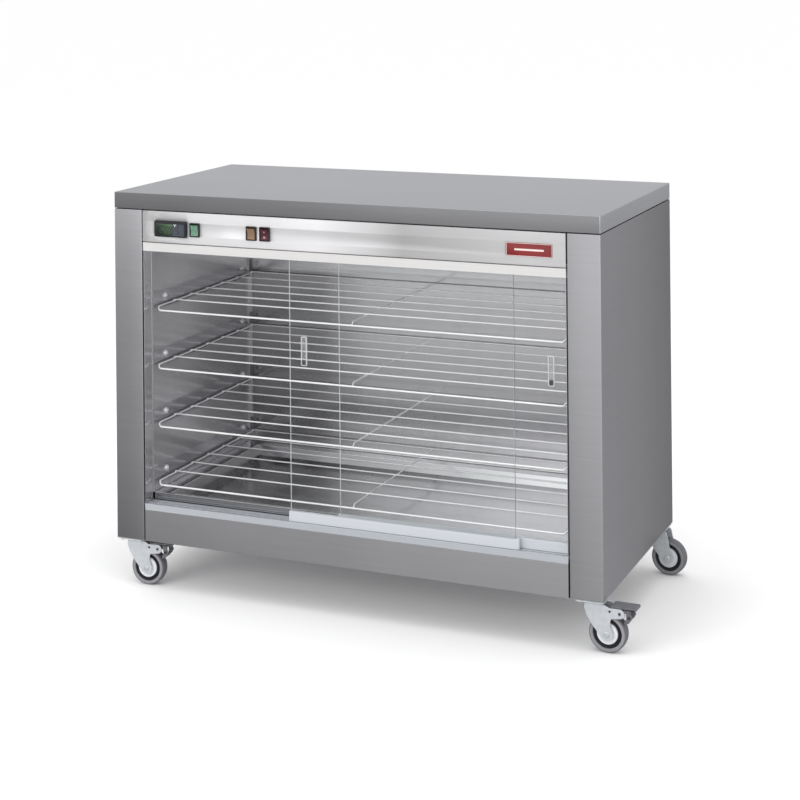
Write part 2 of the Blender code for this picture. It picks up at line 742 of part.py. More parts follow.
def build_control_panel():
    top = SHELL_TOP - GAP
    corners = [
        (FRONT + PANEL_TOP_RETURN, top),
        (FRONT, top),
        (FRONT, PANEL_BOTTOM),
        (FRONT + PANEL_RETURN, PANEL_BOTTOM),
    ]
    outline = strip_outline(bent_path(corners, (0.002, 0.002)), SHEET)
    strip = prism(outline, "x", OPENING_LEFT, OPENING_RIGHT)
    panel = add_object("control_panel", strip, "steel")
    bm = bmesh.new()
    holes = [(THERMOSTAT_X, THERMOSTAT_BODY_WIDTH, THERMOSTAT_BODY_HEIGHT)]
    holes += [(x, SWITCH_BODY_WIDTH, SWITCH_BODY_HEIGHT) for x in SWITCH_XS]
    for x, width, height in holes:
        half_x = width / 2 + CUTOUT_CLEARANCE
        half_z = height / 2 + CUTOUT_CLEARANCE
        low = (x - half_x, FRONT - 0.005, CONTROLS_Z - half_z)
        add_box(bm, low, (x + half_x, FRONT + 0.006, CONTROLS_Z + half_z))
    combine(panel, add_tool("panel_cutouts", bm), "DIFFERENCE")


def panel_fitting(x, width, height, proud, body_width, body_height, body_depth, edge):
    """Bezel in front of the panel with its body running back through the cut-out."""

    def ring(w, h, y):
        low_x, high_x = x - w / 2, x + w / 2
        low_z, high_z = CONTROLS_Z - h / 2, CONTROLS_Z + h / 2
        return [(low_x, y, low_z), (high_x, y, low_z), (high_x, y, high_z), (low_x, y, high_z)]

    seat = FRONT - GAP
    bm = bmesh.new()
    add_rings(
        bm,
        [
            ring(body_width, body_height, FRONT + body_depth),
            ring(body_width, body_height, seat),
            ring(width, height, seat),
            ring(width, height, FRONT - proud + edge),
            ring(width - 2 * edge, height - 2 * edge, FRONT - proud),
        ],
    )
    return bm


def build_thermostat():
    body = (THERMOSTAT_BODY_WIDTH, THERMOSTAT_BODY_HEIGHT, THERMOSTAT_BODY_DEPTH)
    size = (THERMOSTAT_X, THERMOSTAT_WIDTH, THERMOSTAT_HEIGHT, THERMOSTAT_PROUD)
    thermostat = add_object("thermostat", panel_fitting(*size, *body, THERMOSTAT_EDGE), "black_plastic")
    face = FRONT - THERMOSTAT_PROUD
    x = THERMOSTAT_X + KEY_X_OFFSET
    pockets = bmesh.new()
    for name, rise in zip(("up", "down"), KEY_Z_OFFSETS):
        z = CONTROLS_Z + rise
        half = KEY_POCKET / 2
        low = (x - half, face - 0.002, z - half)
        add_box(pockets, low, (x + half, face + KEY_POCKET_DEPTH, z + half))
        half = KEY_SIZE / 2
        low = (-half, -KEY_PROUD, -half)
        key = box(low, (half, KEY_DEPTH, half))
        add_object(f"thermostat_key_{name}", key, "black_plastic", (x, face, z))
    combine(thermostat, add_tool("key_pockets", pockets), "DIFFERENCE")


def build_switch(name, x, lens):
    body = (SWITCH_BODY_WIDTH, SWITCH_BODY_HEIGHT, SWITCH_BODY_DEPTH)
    size = (x, SWITCH_WIDTH, SWITCH_HEIGHT, SWITCH_PROUD)
    shell = panel_fitting(*size, *body, SWITCH_EDGE)
    housing = add_object(name + "_housing", shell, "black_plastic")
    half_x, half_z = SWITCH_POCKET_WIDTH / 2, SWITCH_POCKET_HEIGHT / 2
    low = (x - half_x, FRONT - 0.010, CONTROLS_Z - half_z)
    high = (x + half_x, FRONT + SWITCH_POCKET_DEPTH, CONTROLS_Z + half_z)
    combine(housing, add_tool(name + "_pocket", box(low, high)), "DIFFERENCE")

    ends = ROCKER_HALF_HEIGHT
    crest = -ROCKER_PROUD - ROCKER_PIVOT
    valley = crest + ROCKER_DIP
    outline = [
        (crest, ends),
        (valley + ROCKER_WAIST, ends * 0.35),
        (valley, 0),
        (valley + ROCKER_WAIST, -ends * 0.35),
        (crest, -ends),
        (ROCKER_HEEL, -ends * 0.90),
        (ROCKER_BACK, -ends * 0.45),
        (ROCKER_BACK, ends * 0.45),
        (ROCKER_HEEL, ends * 0.90),
    ]
    turn = Matrix.Rotation(ROCKER_TILT, 2)
    tilted = [tuple(turn @ Vector(point)) for point in outline]
    rocker = prism(tilted, "x", -ROCKER_WIDTH / 2, ROCKER_WIDTH / 2)
    pivot = (x, FRONT + ROCKER_PIVOT, CONTROLS_Z)
    add_object(name + "_rocker", rocker, lens, pivot)


def build_controls():
    build_control_panel()
    build_thermostat()
    lenses = (("green_switch", "green_lens"), ("orange_switch", "orange_lens"))
    lenses += (("red_switch", "red_lens"),)
    for (name, lens), x in zip(lenses, SWITCH_XS):
        build_switch(name, x, lens)
    low = (BADGE_X - BADGE_WIDTH / 2, FRONT - GAP - BADGE_THICKNESS, CONTROLS_Z - BADGE_HEIGHT / 2)
    high = (BADGE_X + BADGE_WIDTH / 2, FRONT - GAP, CONTROLS_Z + BADGE_HEIGHT / 2)
    add_object("front_badge", box(low, high), "red_badge")


def build_caster_plate(name, pivot):
    """Fixed plate with bolt heads and the upper bearing race."""
    half, corner = PLATE_HALF, PLATE_CORNER
    inner = half - corner
    outline = []
    for x, y, start in ((1, 1, 0), (-1, 1, 90), (-1, -1, 180), (1, -1, 270)):
        outline += arc((x * inner, y * inner), corner, start, start + 90, 2)
    under = -GAP - PLATE_THICKNESS
    plate = prism(outline, "z", under, -GAP)
    made = add_object(f"caster_plate_{name}", plate, "zinc", pivot)
    bm = bmesh.new()
    inside = under + 0.001
    race = [(RACE_RADIUS, inside), (RACE_RADIUS, RACE_BOTTOM)]
    add_turned(bm, race, (0, 0, 0), "z", 24)
    head = [(PLATE_BOLT_RADIUS, inside), (PLATE_BOLT_RADIUS, under - PLATE_BOLT_HEAD)]
    for x in (-PLATE_BOLT_OFFSET, PLATE_BOLT_OFFSET):
        for y in (-PLATE_BOLT_OFFSET, PLATE_BOLT_OFFSET):
            add_turned(bm, head, (x, y, 0), "z", 6)
    combine(made, add_tool(f"caster_plate_{name}_heads", bm, pivot), "UNION")


def fork_outline(braked):
    """Side view of the fork in (u, z); braked forks carry a horn for the pedal pin."""
    outline = [(FORK_NOSE, FORK_TOP), (FORK_CROWN_END, FORK_TOP)]
    if braked:
        outline += FORK_SHOULDER
        outline += arc((HORN_U, HORN_Z), HORN_RADIUS, 100, -80, 8)
        outline += FORK_THROAT
    else:
        outline += FORK_PLAIN_BACK
    outline += arc((TRAIL, AXLE_Z), BOSS_RADIUS, 20, -160, 10)
    outline += FORK_LEADING_EDGE
    outline += [(FORK_NOSE, FORK_NOSE_LOW)]
    return outline


def build_fork(name, pivot, turn, braked):
    fork = prism(fork_outline(braked), "y", -FORK_HALF, FORK_HALF)
    made = add_object(f"caster_fork_{name}", fork, "zinc", pivot, turn)
    inner = FORK_HALF - FORK_SHEET
    low = (FORK_NOSE + FORK_SHEET, -inner, -CASTER_HEIGHT)
    hollow = box(low, (PEDAL_END, inner, FORK_TOP - FORK_SHEET))
    combine(made, add_tool(f"fork_hollow_{name}", hollow, pivot, turn), "DIFFERENCE")
    if braked:
        reach = FORK_HALF + 0.005
        bore = [(HORN_PIN_HOLE, -reach), (HORN_PIN_HOLE, reach)]
        hole = turned(bore, (HORN_U, 0, HORN_Z), "y", 12)
        combine(made, add_tool(f"fork_pin_hole_{name}", hole, pivot, turn), "DIFFERENCE")
    inside, outside = FORK_HALF - 0.0005, FORK_HALF + AXLE_HEAD
    profile = [
        (AXLE_HEAD_RADIUS * 0.8, -outside),
        (AXLE_HEAD_RADIUS, -outside + 0.0015),
        (AXLE_HEAD_RADIUS, -inside),
        (AXLE_RADIUS, -inside),
        (AXLE_RADIUS, inside),
        (AXLE_HEAD_RADIUS, inside),
        (AXLE_HEAD_RADIUS, outside - 0.0015),
        (AXLE_HEAD_RADIUS * 0.8, outside),
    ]
    axle = turned(profile, (TRAIL, 0, AXLE_Z), "y", 12)
    combine(made, add_tool(f"fork_axle_{name}", axle, pivot, turn), "UNION")


def build_wheel(name, pivot, turn):
    """Hub with its dark rim, and the tyre, both about the axle."""
    offset = Matrix.Rotation(turn, 3, "Z") @ Vector((TRAIL, 0, AXLE_Z))
    centre = Vector(pivot) + offset
    half = [
        (HUB_BORE, HUB_NOSE_HALF),
        (0.0090, HUB_NOSE_HALF),
        (HUB_COVER_RADIUS, HUB_COVER_HALF),
        (HUB_COVER_RADIUS + 0.0005, HUB_RIM_HALF),
        (HUB_RIM_RADIUS, HUB_RIM_HALF),
    ]
    profile = half + [(r, -v) for r, v in half[::-1]]
    hub = turned(profile, (0, 0, 0), "y", WHEEL_SEGMENTS, closed=True)
    add_object(f"wheel_hub_{name}", hub, "hub_plastic", centre, turn, smooth=True)
    half = [
        (HUB_RIM_RADIUS + GAP, TYRE_HALF - 0.0018),
        (0.0340, TYRE_HALF),
        (0.0380, TYRE_HALF - 0.0013),
        (WHEEL_RADIUS, TYRE_HALF - 0.0058),
    ]
    profile = half + [(r, -v) for r, v in half[::-1]]
    tyre = turned(profile, (0, 0, 0), "y", WHEEL_SEGMENTS, closed=True)
    add_object(f"wheel_tyre_{name}", tyre, "grey_rubber", centre, turn, smooth=True)


def build_brake_pedal(name, pivot, turn):
    """Tread plate, two ears on the horn pin, and the block that presses the tyre."""
    offset = Matrix.Rotation(turn, 3, "Z") @ Vector((HORN_U, 0, HORN_Z))
    centre = Vector(pivot) + offset

    def local(points):
        return [(u - HORN_U, z - HORN_Z) for u, z in points]

    tread = local(
        [
            (PEDAL_START, PEDAL_TOP - PEDAL_SHEET),
            (PEDAL_START, PEDAL_TOP),
            (PEDAL_END - PEDAL_SHEET, PEDAL_TOP + PEDAL_CROWN),
            (PEDAL_END, PEDAL_TOP),
            (PEDAL_END, PEDAL_TOP - PEDAL_SHEET - PEDAL_LIP),
            (PEDAL_END - PEDAL_SHEET, PEDAL_TOP - PEDAL_SHEET - PEDAL_LIP),
            (PEDAL_END - PEDAL_SHEET * 1.4, PEDAL_TOP - PEDAL_SHEET * 0.6),
        ]
    )
    made = add_object(
        f"brake_pedal_{name}", prism(tread, "y", -PEDAL_HALF, PEDAL_HALF), "zinc", centre, turn
    )
    inside = PEDAL_TOP - PEDAL_SHEET * 0.4
    ear = local([(PEDAL_EAR_TOP[0], inside), *PEDAL_EAR, (PEDAL_EAR_TOP[1], inside)])
    bm = bmesh.new()
    outer, inner = PEDAL_EAR_OUTER, PEDAL_EAR_OUTER - PEDAL_EAR_SHEET
    add_prism(bm, ear, "y", -outer, -inner)
    add_prism(bm, ear, "y", inner, outer)
    combine(made, add_tool(f"pedal_ears_{name}", bm, centre, turn), "UNION")
    reach = inner + 0.0005
    bm = prism(local(PEDAL_BLOCK), "y", -reach, reach)
    combine(made, add_tool(f"pedal_block_{name}", bm, centre, turn), "UNION")
    profile = [
        (PIN_HEAD_RADIUS, -PIN_HEAD_END),
        (PIN_HEAD_RADIUS, -FORK_HALF - GAP),
        (HORN_PIN_RADIUS, -FORK_HALF - GAP),
        (HORN_PIN_RADIUS, FORK_HALF + GAP),
        (PIN_HEAD_RADIUS, FORK_HALF + GAP),
        (PIN_HEAD_RADIUS, PIN_HEAD_END),
    ]
    pin = turned(profile, (0, 0, 0), "y", 12)
    combine(made, add_tool(f"pedal_pin_{name}", pin, centre, turn), "UNION")


def build_casters():
    for name, x, y, degrees, braked in CASTERS:
        pivot = (x, y, BASE_Z)
        turn = math.radians(degrees)
        build_caster_plate(name, pivot)
        build_fork(name, pivot, turn, braked)
        build_wheel(name, pivot, turn)
        if braked:
            build_brake_pedal(name, pivot, turn)


def main():
    clear_scene()
    build_worktop()
    build_side_panels()
    build_back_and_base()
    build_liners()
    build_floor_pan()
    build_heating_element()
    build_tracks()
    build_doors()
    for number, level in enumerate(RACK_LEVELS, 1):
        build_rack(number, level)
        build_hangers(number, level)
    build_controls()
    build_casters()


main()
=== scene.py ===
"""Looks of the proofing cabinet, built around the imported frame. Metres, +Z up."""

import json
import math

import bmesh
import bpy
from mathutils import Matrix, Vector


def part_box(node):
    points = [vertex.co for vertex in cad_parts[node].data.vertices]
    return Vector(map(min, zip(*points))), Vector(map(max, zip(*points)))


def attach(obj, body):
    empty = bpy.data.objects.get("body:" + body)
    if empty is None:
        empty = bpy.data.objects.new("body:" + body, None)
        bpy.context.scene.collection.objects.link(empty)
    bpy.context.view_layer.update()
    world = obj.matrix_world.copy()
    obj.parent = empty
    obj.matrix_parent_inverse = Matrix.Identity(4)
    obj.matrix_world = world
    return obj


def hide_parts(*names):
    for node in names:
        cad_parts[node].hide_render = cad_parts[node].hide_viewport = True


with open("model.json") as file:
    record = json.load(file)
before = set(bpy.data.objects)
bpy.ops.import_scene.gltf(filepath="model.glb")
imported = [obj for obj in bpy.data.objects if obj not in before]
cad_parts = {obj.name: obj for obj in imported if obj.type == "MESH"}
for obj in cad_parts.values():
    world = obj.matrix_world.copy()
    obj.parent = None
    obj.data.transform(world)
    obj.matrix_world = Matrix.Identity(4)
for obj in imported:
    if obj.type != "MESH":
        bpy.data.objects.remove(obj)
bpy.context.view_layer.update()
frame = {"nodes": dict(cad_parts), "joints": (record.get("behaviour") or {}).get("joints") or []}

# The picture's eye: position, heading left of +Y, roll, lens and its downward shift
EYE = Vector((1.5997, -3.8171, 1.4365))
HEADING = 0.3996
ROLL = -0.0089
LENS = 81.18
LENS_DROP = -0.560

TOP_LOW, TOP_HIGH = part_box("worktop")
LEFT, RIGHT = TOP_LOW.x, TOP_HIGH.x
FRONT, BACK = TOP_LOW.y, TOP_HIGH.y
CENTRE_X = (LEFT + RIGHT) / 2
SHEET = 0.0012
JOINTS = {joint["name"]: joint for joint in frame["joints"]}
CORNERS = ("front_left", "front_right", "rear_left", "rear_right")


# ---------------------------------------------------------------- materials


def plug(tree, socket, value):
    if isinstance(value, bpy.types.NodeSocket):
        tree.links.new(value, socket)
    else:
        socket.default_value = value


def add(tree, kind, inputs=(), **settings):
    node = tree.nodes.new("ShaderNode" + kind)
    for key, value in settings.items():
        setattr(node, key, value)
    for key, value in dict(inputs).items():
        plug(tree, node.inputs[key], value)
    return node


def noise(tree, cycles, detail=3.0, rough=0.55):
    """Noise over the object's own space, in cycles per metre along x, y and z."""
    coords = add(tree, "TexCoord").outputs["Object"]
    scaled = add(tree, "VectorMath", {0: coords, 1: cycles}, operation="MULTIPLY").outputs[0]
    inputs = {"Vector": scaled, "Scale": 1.0, "Detail": detail, "Roughness": rough}
    return add(tree, "TexNoise", inputs).outputs["Fac"]


def ramp(tree, value, stops):
    node = add(tree, "ValToRGB", {"Fac": value})
    elements = node.color_ramp.elements
    elements[0].position = stops[0][0]
    elements[1].position = stops[-1][0]
    for place, _ in stops[1:-1]:
        elements.new(place)
    for element, (_, colour) in zip(elements, stops):
        element.color = (*colour, 1.0)
    return node.outputs["Color"]


def remap(tree, value, source, target):
    inputs = {
        "Value": value,
        "From Min": source[0],
        "From Max": source[1],
        "To Min": target[0],
        "To Max": target[1],
    }
    return add(tree, "MapRange", inputs).outputs["Result"]


def mix_colours(tree, first, second, kind="MIX", share=1.0):
    node = add(tree, "Mix", data_type="RGBA", blend_type=kind)
    for socket, value in ((0, share), (6, first), (7, second)):
        plug(tree, node.inputs[socket], value)
    return node.outputs[2]


def multiply(tree, first, second):
    return mix_colours(tree, first, second, "MULTIPLY")


def position(tree, axis, generated=False):
    coords = add(tree, "TexCoord").outputs["Generated" if generated else "Object"]
    return add(tree, "SeparateXYZ", {0: coords}).outputs[axis]


def grey(value):
    return (value, value, value)


def shade(colour, factor):
    return tuple(min(1.0, c * factor) for c in colour)


def start(name):
    made = bpy.data.materials.new(name)
    made.use_nodes = True
    return made, made.node_tree, made.node_tree.nodes["Principled BSDF"]


def bump(tree, shader, height, strength, distance):
    inputs = {"Height": height, "Strength": strength, "Distance": distance}
    plug(tree, shader.inputs["Normal"], add(tree, "Bump", inputs).outputs["Normal"])


def grey_ramp(tree, value, levels):
    return ramp(tree, value, [(place, grey(level)) for place, level in levels])


def painted_light_levels(tree, tone):
    axis, low, high, levels = tone
    return grey_ramp(tree, remap(tree, position(tree, axis), (low, high), (0.0, 1.0)), levels)


def steel_sheet(
    name,
    colour,
    roughness,
    fine,
    streaks,
    contrast=0.02,
    stretch=None,
    tone=None,
    metallic=1.0,
    painted_highlight=None,
):
    """Brushed or rolled sheet: fine grain, wider streaks, slow clouds, and painted reflection and shade
    along an axis.

    A second painted light, painted_highlight, wins wherever it is the lighter one.
    """
    made, tree, shader = start(name)
    grain = noise(tree, fine, 2.0)
    band = noise(tree, streaks, 4.0)
    cloud = noise(tree, (2.3, 2.3, 2.3), 2.0)
    stops = ((0.30, shade(colour, 1 - contrast)), (0.70, shade(colour, 1 + contrast)))
    surface = ramp(tree, band, stops)
    surface = multiply(tree, surface, grey_ramp(tree, grain, ((0.3, 0.95), (0.7, 1.0))))
    surface = multiply(tree, surface, grey_ramp(tree, cloud, ((0.35, 0.96), (0.65, 1.0))))
    # Painted light and shade: the tone's levels darken or lighten the colour along one axis
    if tone:
        levels = painted_light_levels(tree, tone)
        if painted_highlight:
            levels = mix_colours(tree, levels, painted_light_levels(tree, painted_highlight), "LIGHTEN")
        surface = multiply(tree, surface, levels)
    plug(tree, shader.inputs["Base Color"], surface)
    shader.inputs["Metallic"].default_value = metallic
    wander = remap(tree, cloud, (0.3, 0.7), (roughness * 0.88, roughness * 1.12))
    plug(tree, shader.inputs["Roughness"], wander)
    if stretch:
        shader.inputs["Anisotropic"].default_value = 0.55
        direction = add(tree, "CombineXYZ", dict(enumerate(stretch))).outputs[0]
        plug(tree, shader.inputs["Tangent"], direction)
    bump(tree, shader, grain, 0.10, 0.00004)
    return made


def plain_metal(name, colour, roughness, metallic, spots, contrast, relief=0.05):
    """Plated or anodised metal with soft mottling."""
    made, tree, shader = start(name)
    mottle = noise(tree, (spots, spots, spots), 3.0)
    stops = ((0.35, shade(colour, 1 - contrast)), (0.65, shade(colour, 1 + contrast)))
    plug(tree, shader.inputs["Base Color"], ramp(tree, mottle, stops))
    shader.inputs["Metallic"].default_value = metallic
    wander = remap(tree, mottle, (0.3, 0.7), (roughness * 0.85, roughness * 1.15))
    plug(tree, shader.inputs["Roughness"], wander)
    bump(tree, shader, noise(tree, (900, 900, 900), 2.0), relief, 0.00005)
    return made


def extrusion(name, colour, roughness):
    """Satin anodised aluminium with die lines along x."""
    made, tree, shader = start(name)
    lines = noise(tree, (1.5, 1500, 1500), 2.0)
    stops = ((0.3, shade(colour, 0.95)), (0.7, shade(colour, 1.03)))
    plug(tree, shader.inputs["Base Color"], ramp(tree, lines, stops))
    shader.inputs["Metallic"].default_value = 0.55
    shader.inputs["Roughness"].default_value = roughness
    bump(tree, shader, lines, 0.12, 0.00005)
    return made


def moulding(name, colour, roughness, grain=1200, relief=0.15, contrast=0.08, coat=0.0):
    """Moulded plastic or rubber with a fine texture and slight tone changes."""
    made, tree, shader = start(name)
    tone = noise(tree, (30, 30, 30), 4.0)
    stops = ((0.35, shade(colour, 1 - contrast)), (0.65, shade(colour, 1 + contrast)))
    plug(tree, shader.inputs["Base Color"], ramp(tree, tone, stops))
    wander = remap(tree, tone, (0.3, 0.7), (roughness * 0.9, roughness * 1.1))
    plug(tree, shader.inputs["Roughness"], wander)
    shader.inputs["Coat Weight"].default_value = coat
    bump(tree, shader, noise(tree, (grain, grain, grain), 2.0), relief, 0.00008)
    return made


def lens(name, colour, glow, fleck):
    """Tinted plastic with a prismatic pattern and a faint glow, for caps and lit figures."""
    made, tree, shader = start(name)
    pattern = noise(tree, (fleck, fleck, fleck), 3.0, 0.7)
    surface = ramp(tree, pattern, ((0.38, shade(colour, 0.72)), (0.62, shade(colour, 1.25))))
    plug(tree, shader.inputs["Base Color"], surface)
    plug(tree, shader.inputs["Emission Color"], surface)
    shader.inputs["Emission Strength"].default_value = glow
    shader.inputs["Roughness"].default_value = 0.28
    shader.inputs["Coat Weight"].default_value = 0.4
    return made


def display_window():
    """Smoked green display: darker at the left and bottom, with a painted highlight along the top edge,
    and the whole colour glowing faintly.
    """
    made, tree, shader = start("display_green")
    dark, middle, light = (0.010, 0.020, 0.012), (0.018, 0.050, 0.018), (0.042, 0.125, 0.036)
    across = ramp(tree, position(tree, "X", True), ((0.0, dark), (0.40, middle), (1.0, light)))
    # The top band of these levels is the painted highlight
    levels = ((0.0, 0.18), (0.6, 0.28), (0.84, 0.34), (0.93, 1.0), (1.0, 1.0))
    surface = multiply(tree, across, grey_ramp(tree, position(tree, "Z", True), levels))
    plug(tree, shader.inputs["Base Color"], surface)
    plug(tree, shader.inputs["Emission Color"], surface)
    shader.inputs["Emission Strength"].default_value = 0.3
    shader.inputs["Roughness"].default_value = 0.30
    shader.inputs["Coat Weight"].default_value = 0.1
    return made


def see_through(name, tint, body, weight, roughness, index=1.45):
    """Clear sheet or moulding: light goes straight through, and its outer side reflects."""
    made, tree, shader = start(name)
    wave = noise(tree, (6, 6, 6), 2.0)
    colour = ramp(tree, wave, ((0.3, shade(body, 0.96)), (0.7, body)))
    plug(tree, shader.inputs["Base Color"], colour)
    shader.inputs["Roughness"].default_value = roughness
    through = add(tree, "BsdfTransparent", {"Color": (*tint, 1.0)}).outputs[0]
    gloss = add(tree, "BsdfGlossy", {"Color": (1, 1, 1, 1), "Roughness": roughness}).outputs[0]
    fresnel = add(tree, "Fresnel", {"IOR": index}).outputs[0]
    outside = remap(tree, add(tree, "NewGeometry").outputs["Backfacing"], (0.0, 1.0), (1.0, 0.0))
    skin_share = add(tree, "Math", {0: fresnel, 1: outside}, operation="MULTIPLY").outputs[0]
    solid = add(tree, "MixShader", {0: weight, 1: through, 2: shader.outputs[0]}).outputs[0]
    whole = add(tree, "MixShader", {0: skin_share, 1: solid, 2: gloss}).outputs[0]
    tree.links.new(whole, tree.nodes["Material Output"].inputs["Surface"])
    return made


# Grain and streaks in cycles per metre, and the direction that stretches highlights
ALONG_X = ((5, 900, 900), (2, 120, 120))
ALONG_LENGTH = ((5, 5, 900), (2.5, 2.5, 120))
UPRIGHT = ((700, 700, 5), (40, 40, 3))
OVER_Y, OVER_Z = (0, 1, 0), (0, 0, 1)
# Painted reflection and shade that the surroundings leave on the sheets: axis, span and (place, level)
# stops
REARWARD_PAINTED_SHADE = ("Y", FRONT, BACK, ((0.0, 1.0), (0.15, 0.97), (0.5, 0.84), (1.0, 0.48)))
UPWARD_PAINTED_LIGHT = ("Z", TOP_LOW.z - 0.75, TOP_LOW.z, ((0.0, 0.68), (0.6, 0.70), (0.85, 0.83), (1.0, 1.0)))
# Painted reflection across the control strip: darker at the far left, light to the middle, a dark band
# right of the middle
STRIP_LEFT_REFLECTION = ((0.0, 0.57), (0.11, 0.60), (0.18, 0.77), (0.45, 0.84))
STRIP_RIGHT_REFLECTION = ((0.56, 0.64), (0.62, 0.48), (0.73, 0.57), (0.87, 0.72), (1.0, 0.72))
PANEL_PAINTED_REFLECTION = ("X", LEFT, RIGHT, STRIP_LEFT_REFLECTION + STRIP_RIGHT_REFLECTION)
# Painted reflection on the back liner: dark at the left, bright from about a third of the way across
REAR_WALL_REFLECTION = ((0.0, 0.43), (0.25, 0.50), (0.36, 0.84), (0.8, 0.90), (1.0, 0.80))
REAR_WALL_PAINTED_REFLECTION = ("X", LEFT, RIGHT, REAR_WALL_REFLECTION)
RACK_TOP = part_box("rack_4")[1].z
# Painted light on the back liner just above the top rack
PAINTED_LIGHT_ABOVE_RACKS = ("Z", RACK_TOP, RACK_TOP + 0.012, ((0.0, 0.0), (1.0, 1.0)))
# Painted reflection on the floor pan: dark at the left, bright at the right
PAN_PAINTED_REFLECTION = ("X", LEFT, RIGHT, ((0.0, 0.42), (0.25, 0.44), (0.45, 0.56), (0.75, 0.94), (1.0, 1.0)))
PAN_LOW, PAN_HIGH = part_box("floor_pan")
# Painted highlight along the top of the pan's rim
PAN_RIM_PAINTED_HIGHLIGHT = ("Z", PAN_LOW.z, PAN_HIGH.z, ((0.0, 0.0), (0.93, 0.0), (0.97, 0.95), (1.0, 0.95)))

TOP_STEEL = steel_sheet("top_steel", (0.62, 0.63, 0.655), 0.30, *ALONG_X, stretch=OVER_Y)
# Shaded and lit copies of the top steel: the front fold darker, painted shade; the ends lighter, painted
# light
FOLD_PAINTED_SHADE_STEEL = steel_sheet("fold_steel_painted_shade", (0.32, 0.32, 0.33), 0.36, *ALONG_X, stretch=OVER_Z)
END_PAINTED_LIGHT_STEEL = steel_sheet("end_steel_painted_light", (0.73, 0.74, 0.77), 0.30, *ALONG_LENGTH, stretch=OVER_Z)
# Side sheets: the right one a darker copy, darker still towards the back, painted shade; the left one
# lighter and brighter upwards, painted light
SIDE_PAINTED_SHADE_STEEL = steel_sheet("side_steel_painted_shade", (0.56, 0.56, 0.585), 0.34, *ALONG_LENGTH, 0.02, OVER_Z, REARWARD_PAINTED_SHADE)
LEFT_PAINTED_LIGHT_STEEL = steel_sheet("left_steel_painted_light", (0.69, 0.69, 0.72), 0.34, *ALONG_LENGTH, 0.02, OVER_Z, UPWARD_PAINTED_LIGHT)
PLINTH_STEEL = steel_sheet("plinth_steel", (0.66, 0.66, 0.685), 0.34, *ALONG_X, stretch=OVER_Z)
PANEL_WHITE = (0.90, 0.89, 0.905)
PANEL_LOOK = {"contrast": 0.012, "stretch": OVER_Z, "tone": PANEL_PAINTED_REFLECTION, "metallic": 0.45}
PANEL_STEEL = steel_sheet("control_panel_steel", PANEL_WHITE, 0.30, *ALONG_X, **PANEL_LOOK)
LINER_GREY = (0.80, 0.795, 0.815)
LINER_STEEL = steel_sheet("liner_steel", LINER_GREY, 0.16, *UPRIGHT, metallic=0.80)
# Side liners: a darker copy of the liner steel, painted shade
WALL_PAINTED_SHADE_STEEL = steel_sheet("wall_steel_painted_shade", (0.56, 0.56, 0.575), 0.16, *UPRIGHT, metallic=0.80)
REAR_PAINTED_LIGHT = {"tone": REAR_WALL_PAINTED_REFLECTION, "painted_highlight": PAINTED_LIGHT_ABOVE_RACKS}
REAR_STEEL = steel_sheet("rear_steel_painted_light", LINER_GREY, 0.16, *UPRIGHT, metallic=0.80, **REAR_PAINTED_LIGHT)
PAN_GRAIN = ((5, 700, 700), (3, 40, 40))
PAN_PAINTED_LIGHT = {"tone": PAN_PAINTED_REFLECTION, "painted_highlight": PAN_RIM_PAINTED_HIGHLIGHT}
PAN_STEEL = steel_sheet("pan_steel_painted_light", (0.84, 0.84, 0.865), 0.14, *PAN_GRAIN, metallic=0.9, **PAN_PAINTED_LIGHT)
RAIL_GRAIN = ((700, 5, 700), (60, 3, 60))
# Hanger rails darkened below the liner grey: painted shade beside the rack wires
RAIL_PAINTED_SHADE_STEEL = steel_sheet("rail_steel_painted_shade", (0.52, 0.52, 0.55), 0.22, *RAIL_GRAIN, metallic=0.8)
CHROME = plain_metal("chrome_wire", (0.97, 0.97, 0.98), 0.20, 0.50, 60, 0.03, 0.02)
ZINC = plain_metal("zinc_plate", (0.60, 0.625, 0.655), 0.42, 0.35, 120, 0.05)
# Studs: near-white and mostly diffuse, a painted highlight on each dome
STUD_PAINTED_HIGHLIGHT = plain_metal("stud_steel_painted_highlight", (0.90, 0.91, 0.94), 0.36, 0.30, 200, 0.05)
BOLT_ZINC = plain_metal("bolt_zinc", (0.70, 0.72, 0.74), 0.34, 0.6, 200, 0.08)
# Pedal steel: its own dark grey, darkened further for painted shade under the cabinet
PEDAL_STEEL_AND_SHADE = plain_metal("pedal_steel_and_painted_shade", (0.22, 0.22, 0.24), 0.42, 0.6, 160, 0.10)
DARK_STEEL = plain_metal("dark_steel", (0.06, 0.06, 0.07), 0.45, 0.5, 200, 0.10)
ALUMINIUM = extrusion("satin_aluminium", (0.77, 0.80, 0.845), 0.42)
SILL_ALUMINIUM = extrusion("sill_aluminium", (0.585, 0.61, 0.65), 0.42)
HEAD_ALUMINIUM = extrusion("head_aluminium", (0.74, 0.73, 0.725), 0.45)
ELEMENT = plain_metal("element_sheath", (0.20, 0.19, 0.18), 0.45, 0.9, 80, 0.15)
GLASS = see_through("door_glass", (0.986, 0.992, 0.99), (0.8, 0.9, 0.86), 0.0, 0.02, 1.25)
GLASS_EDGE = see_through("glass_edge", (0.86, 0.90, 0.90), (0.80, 0.82, 0.84), 0.70, 0.20)
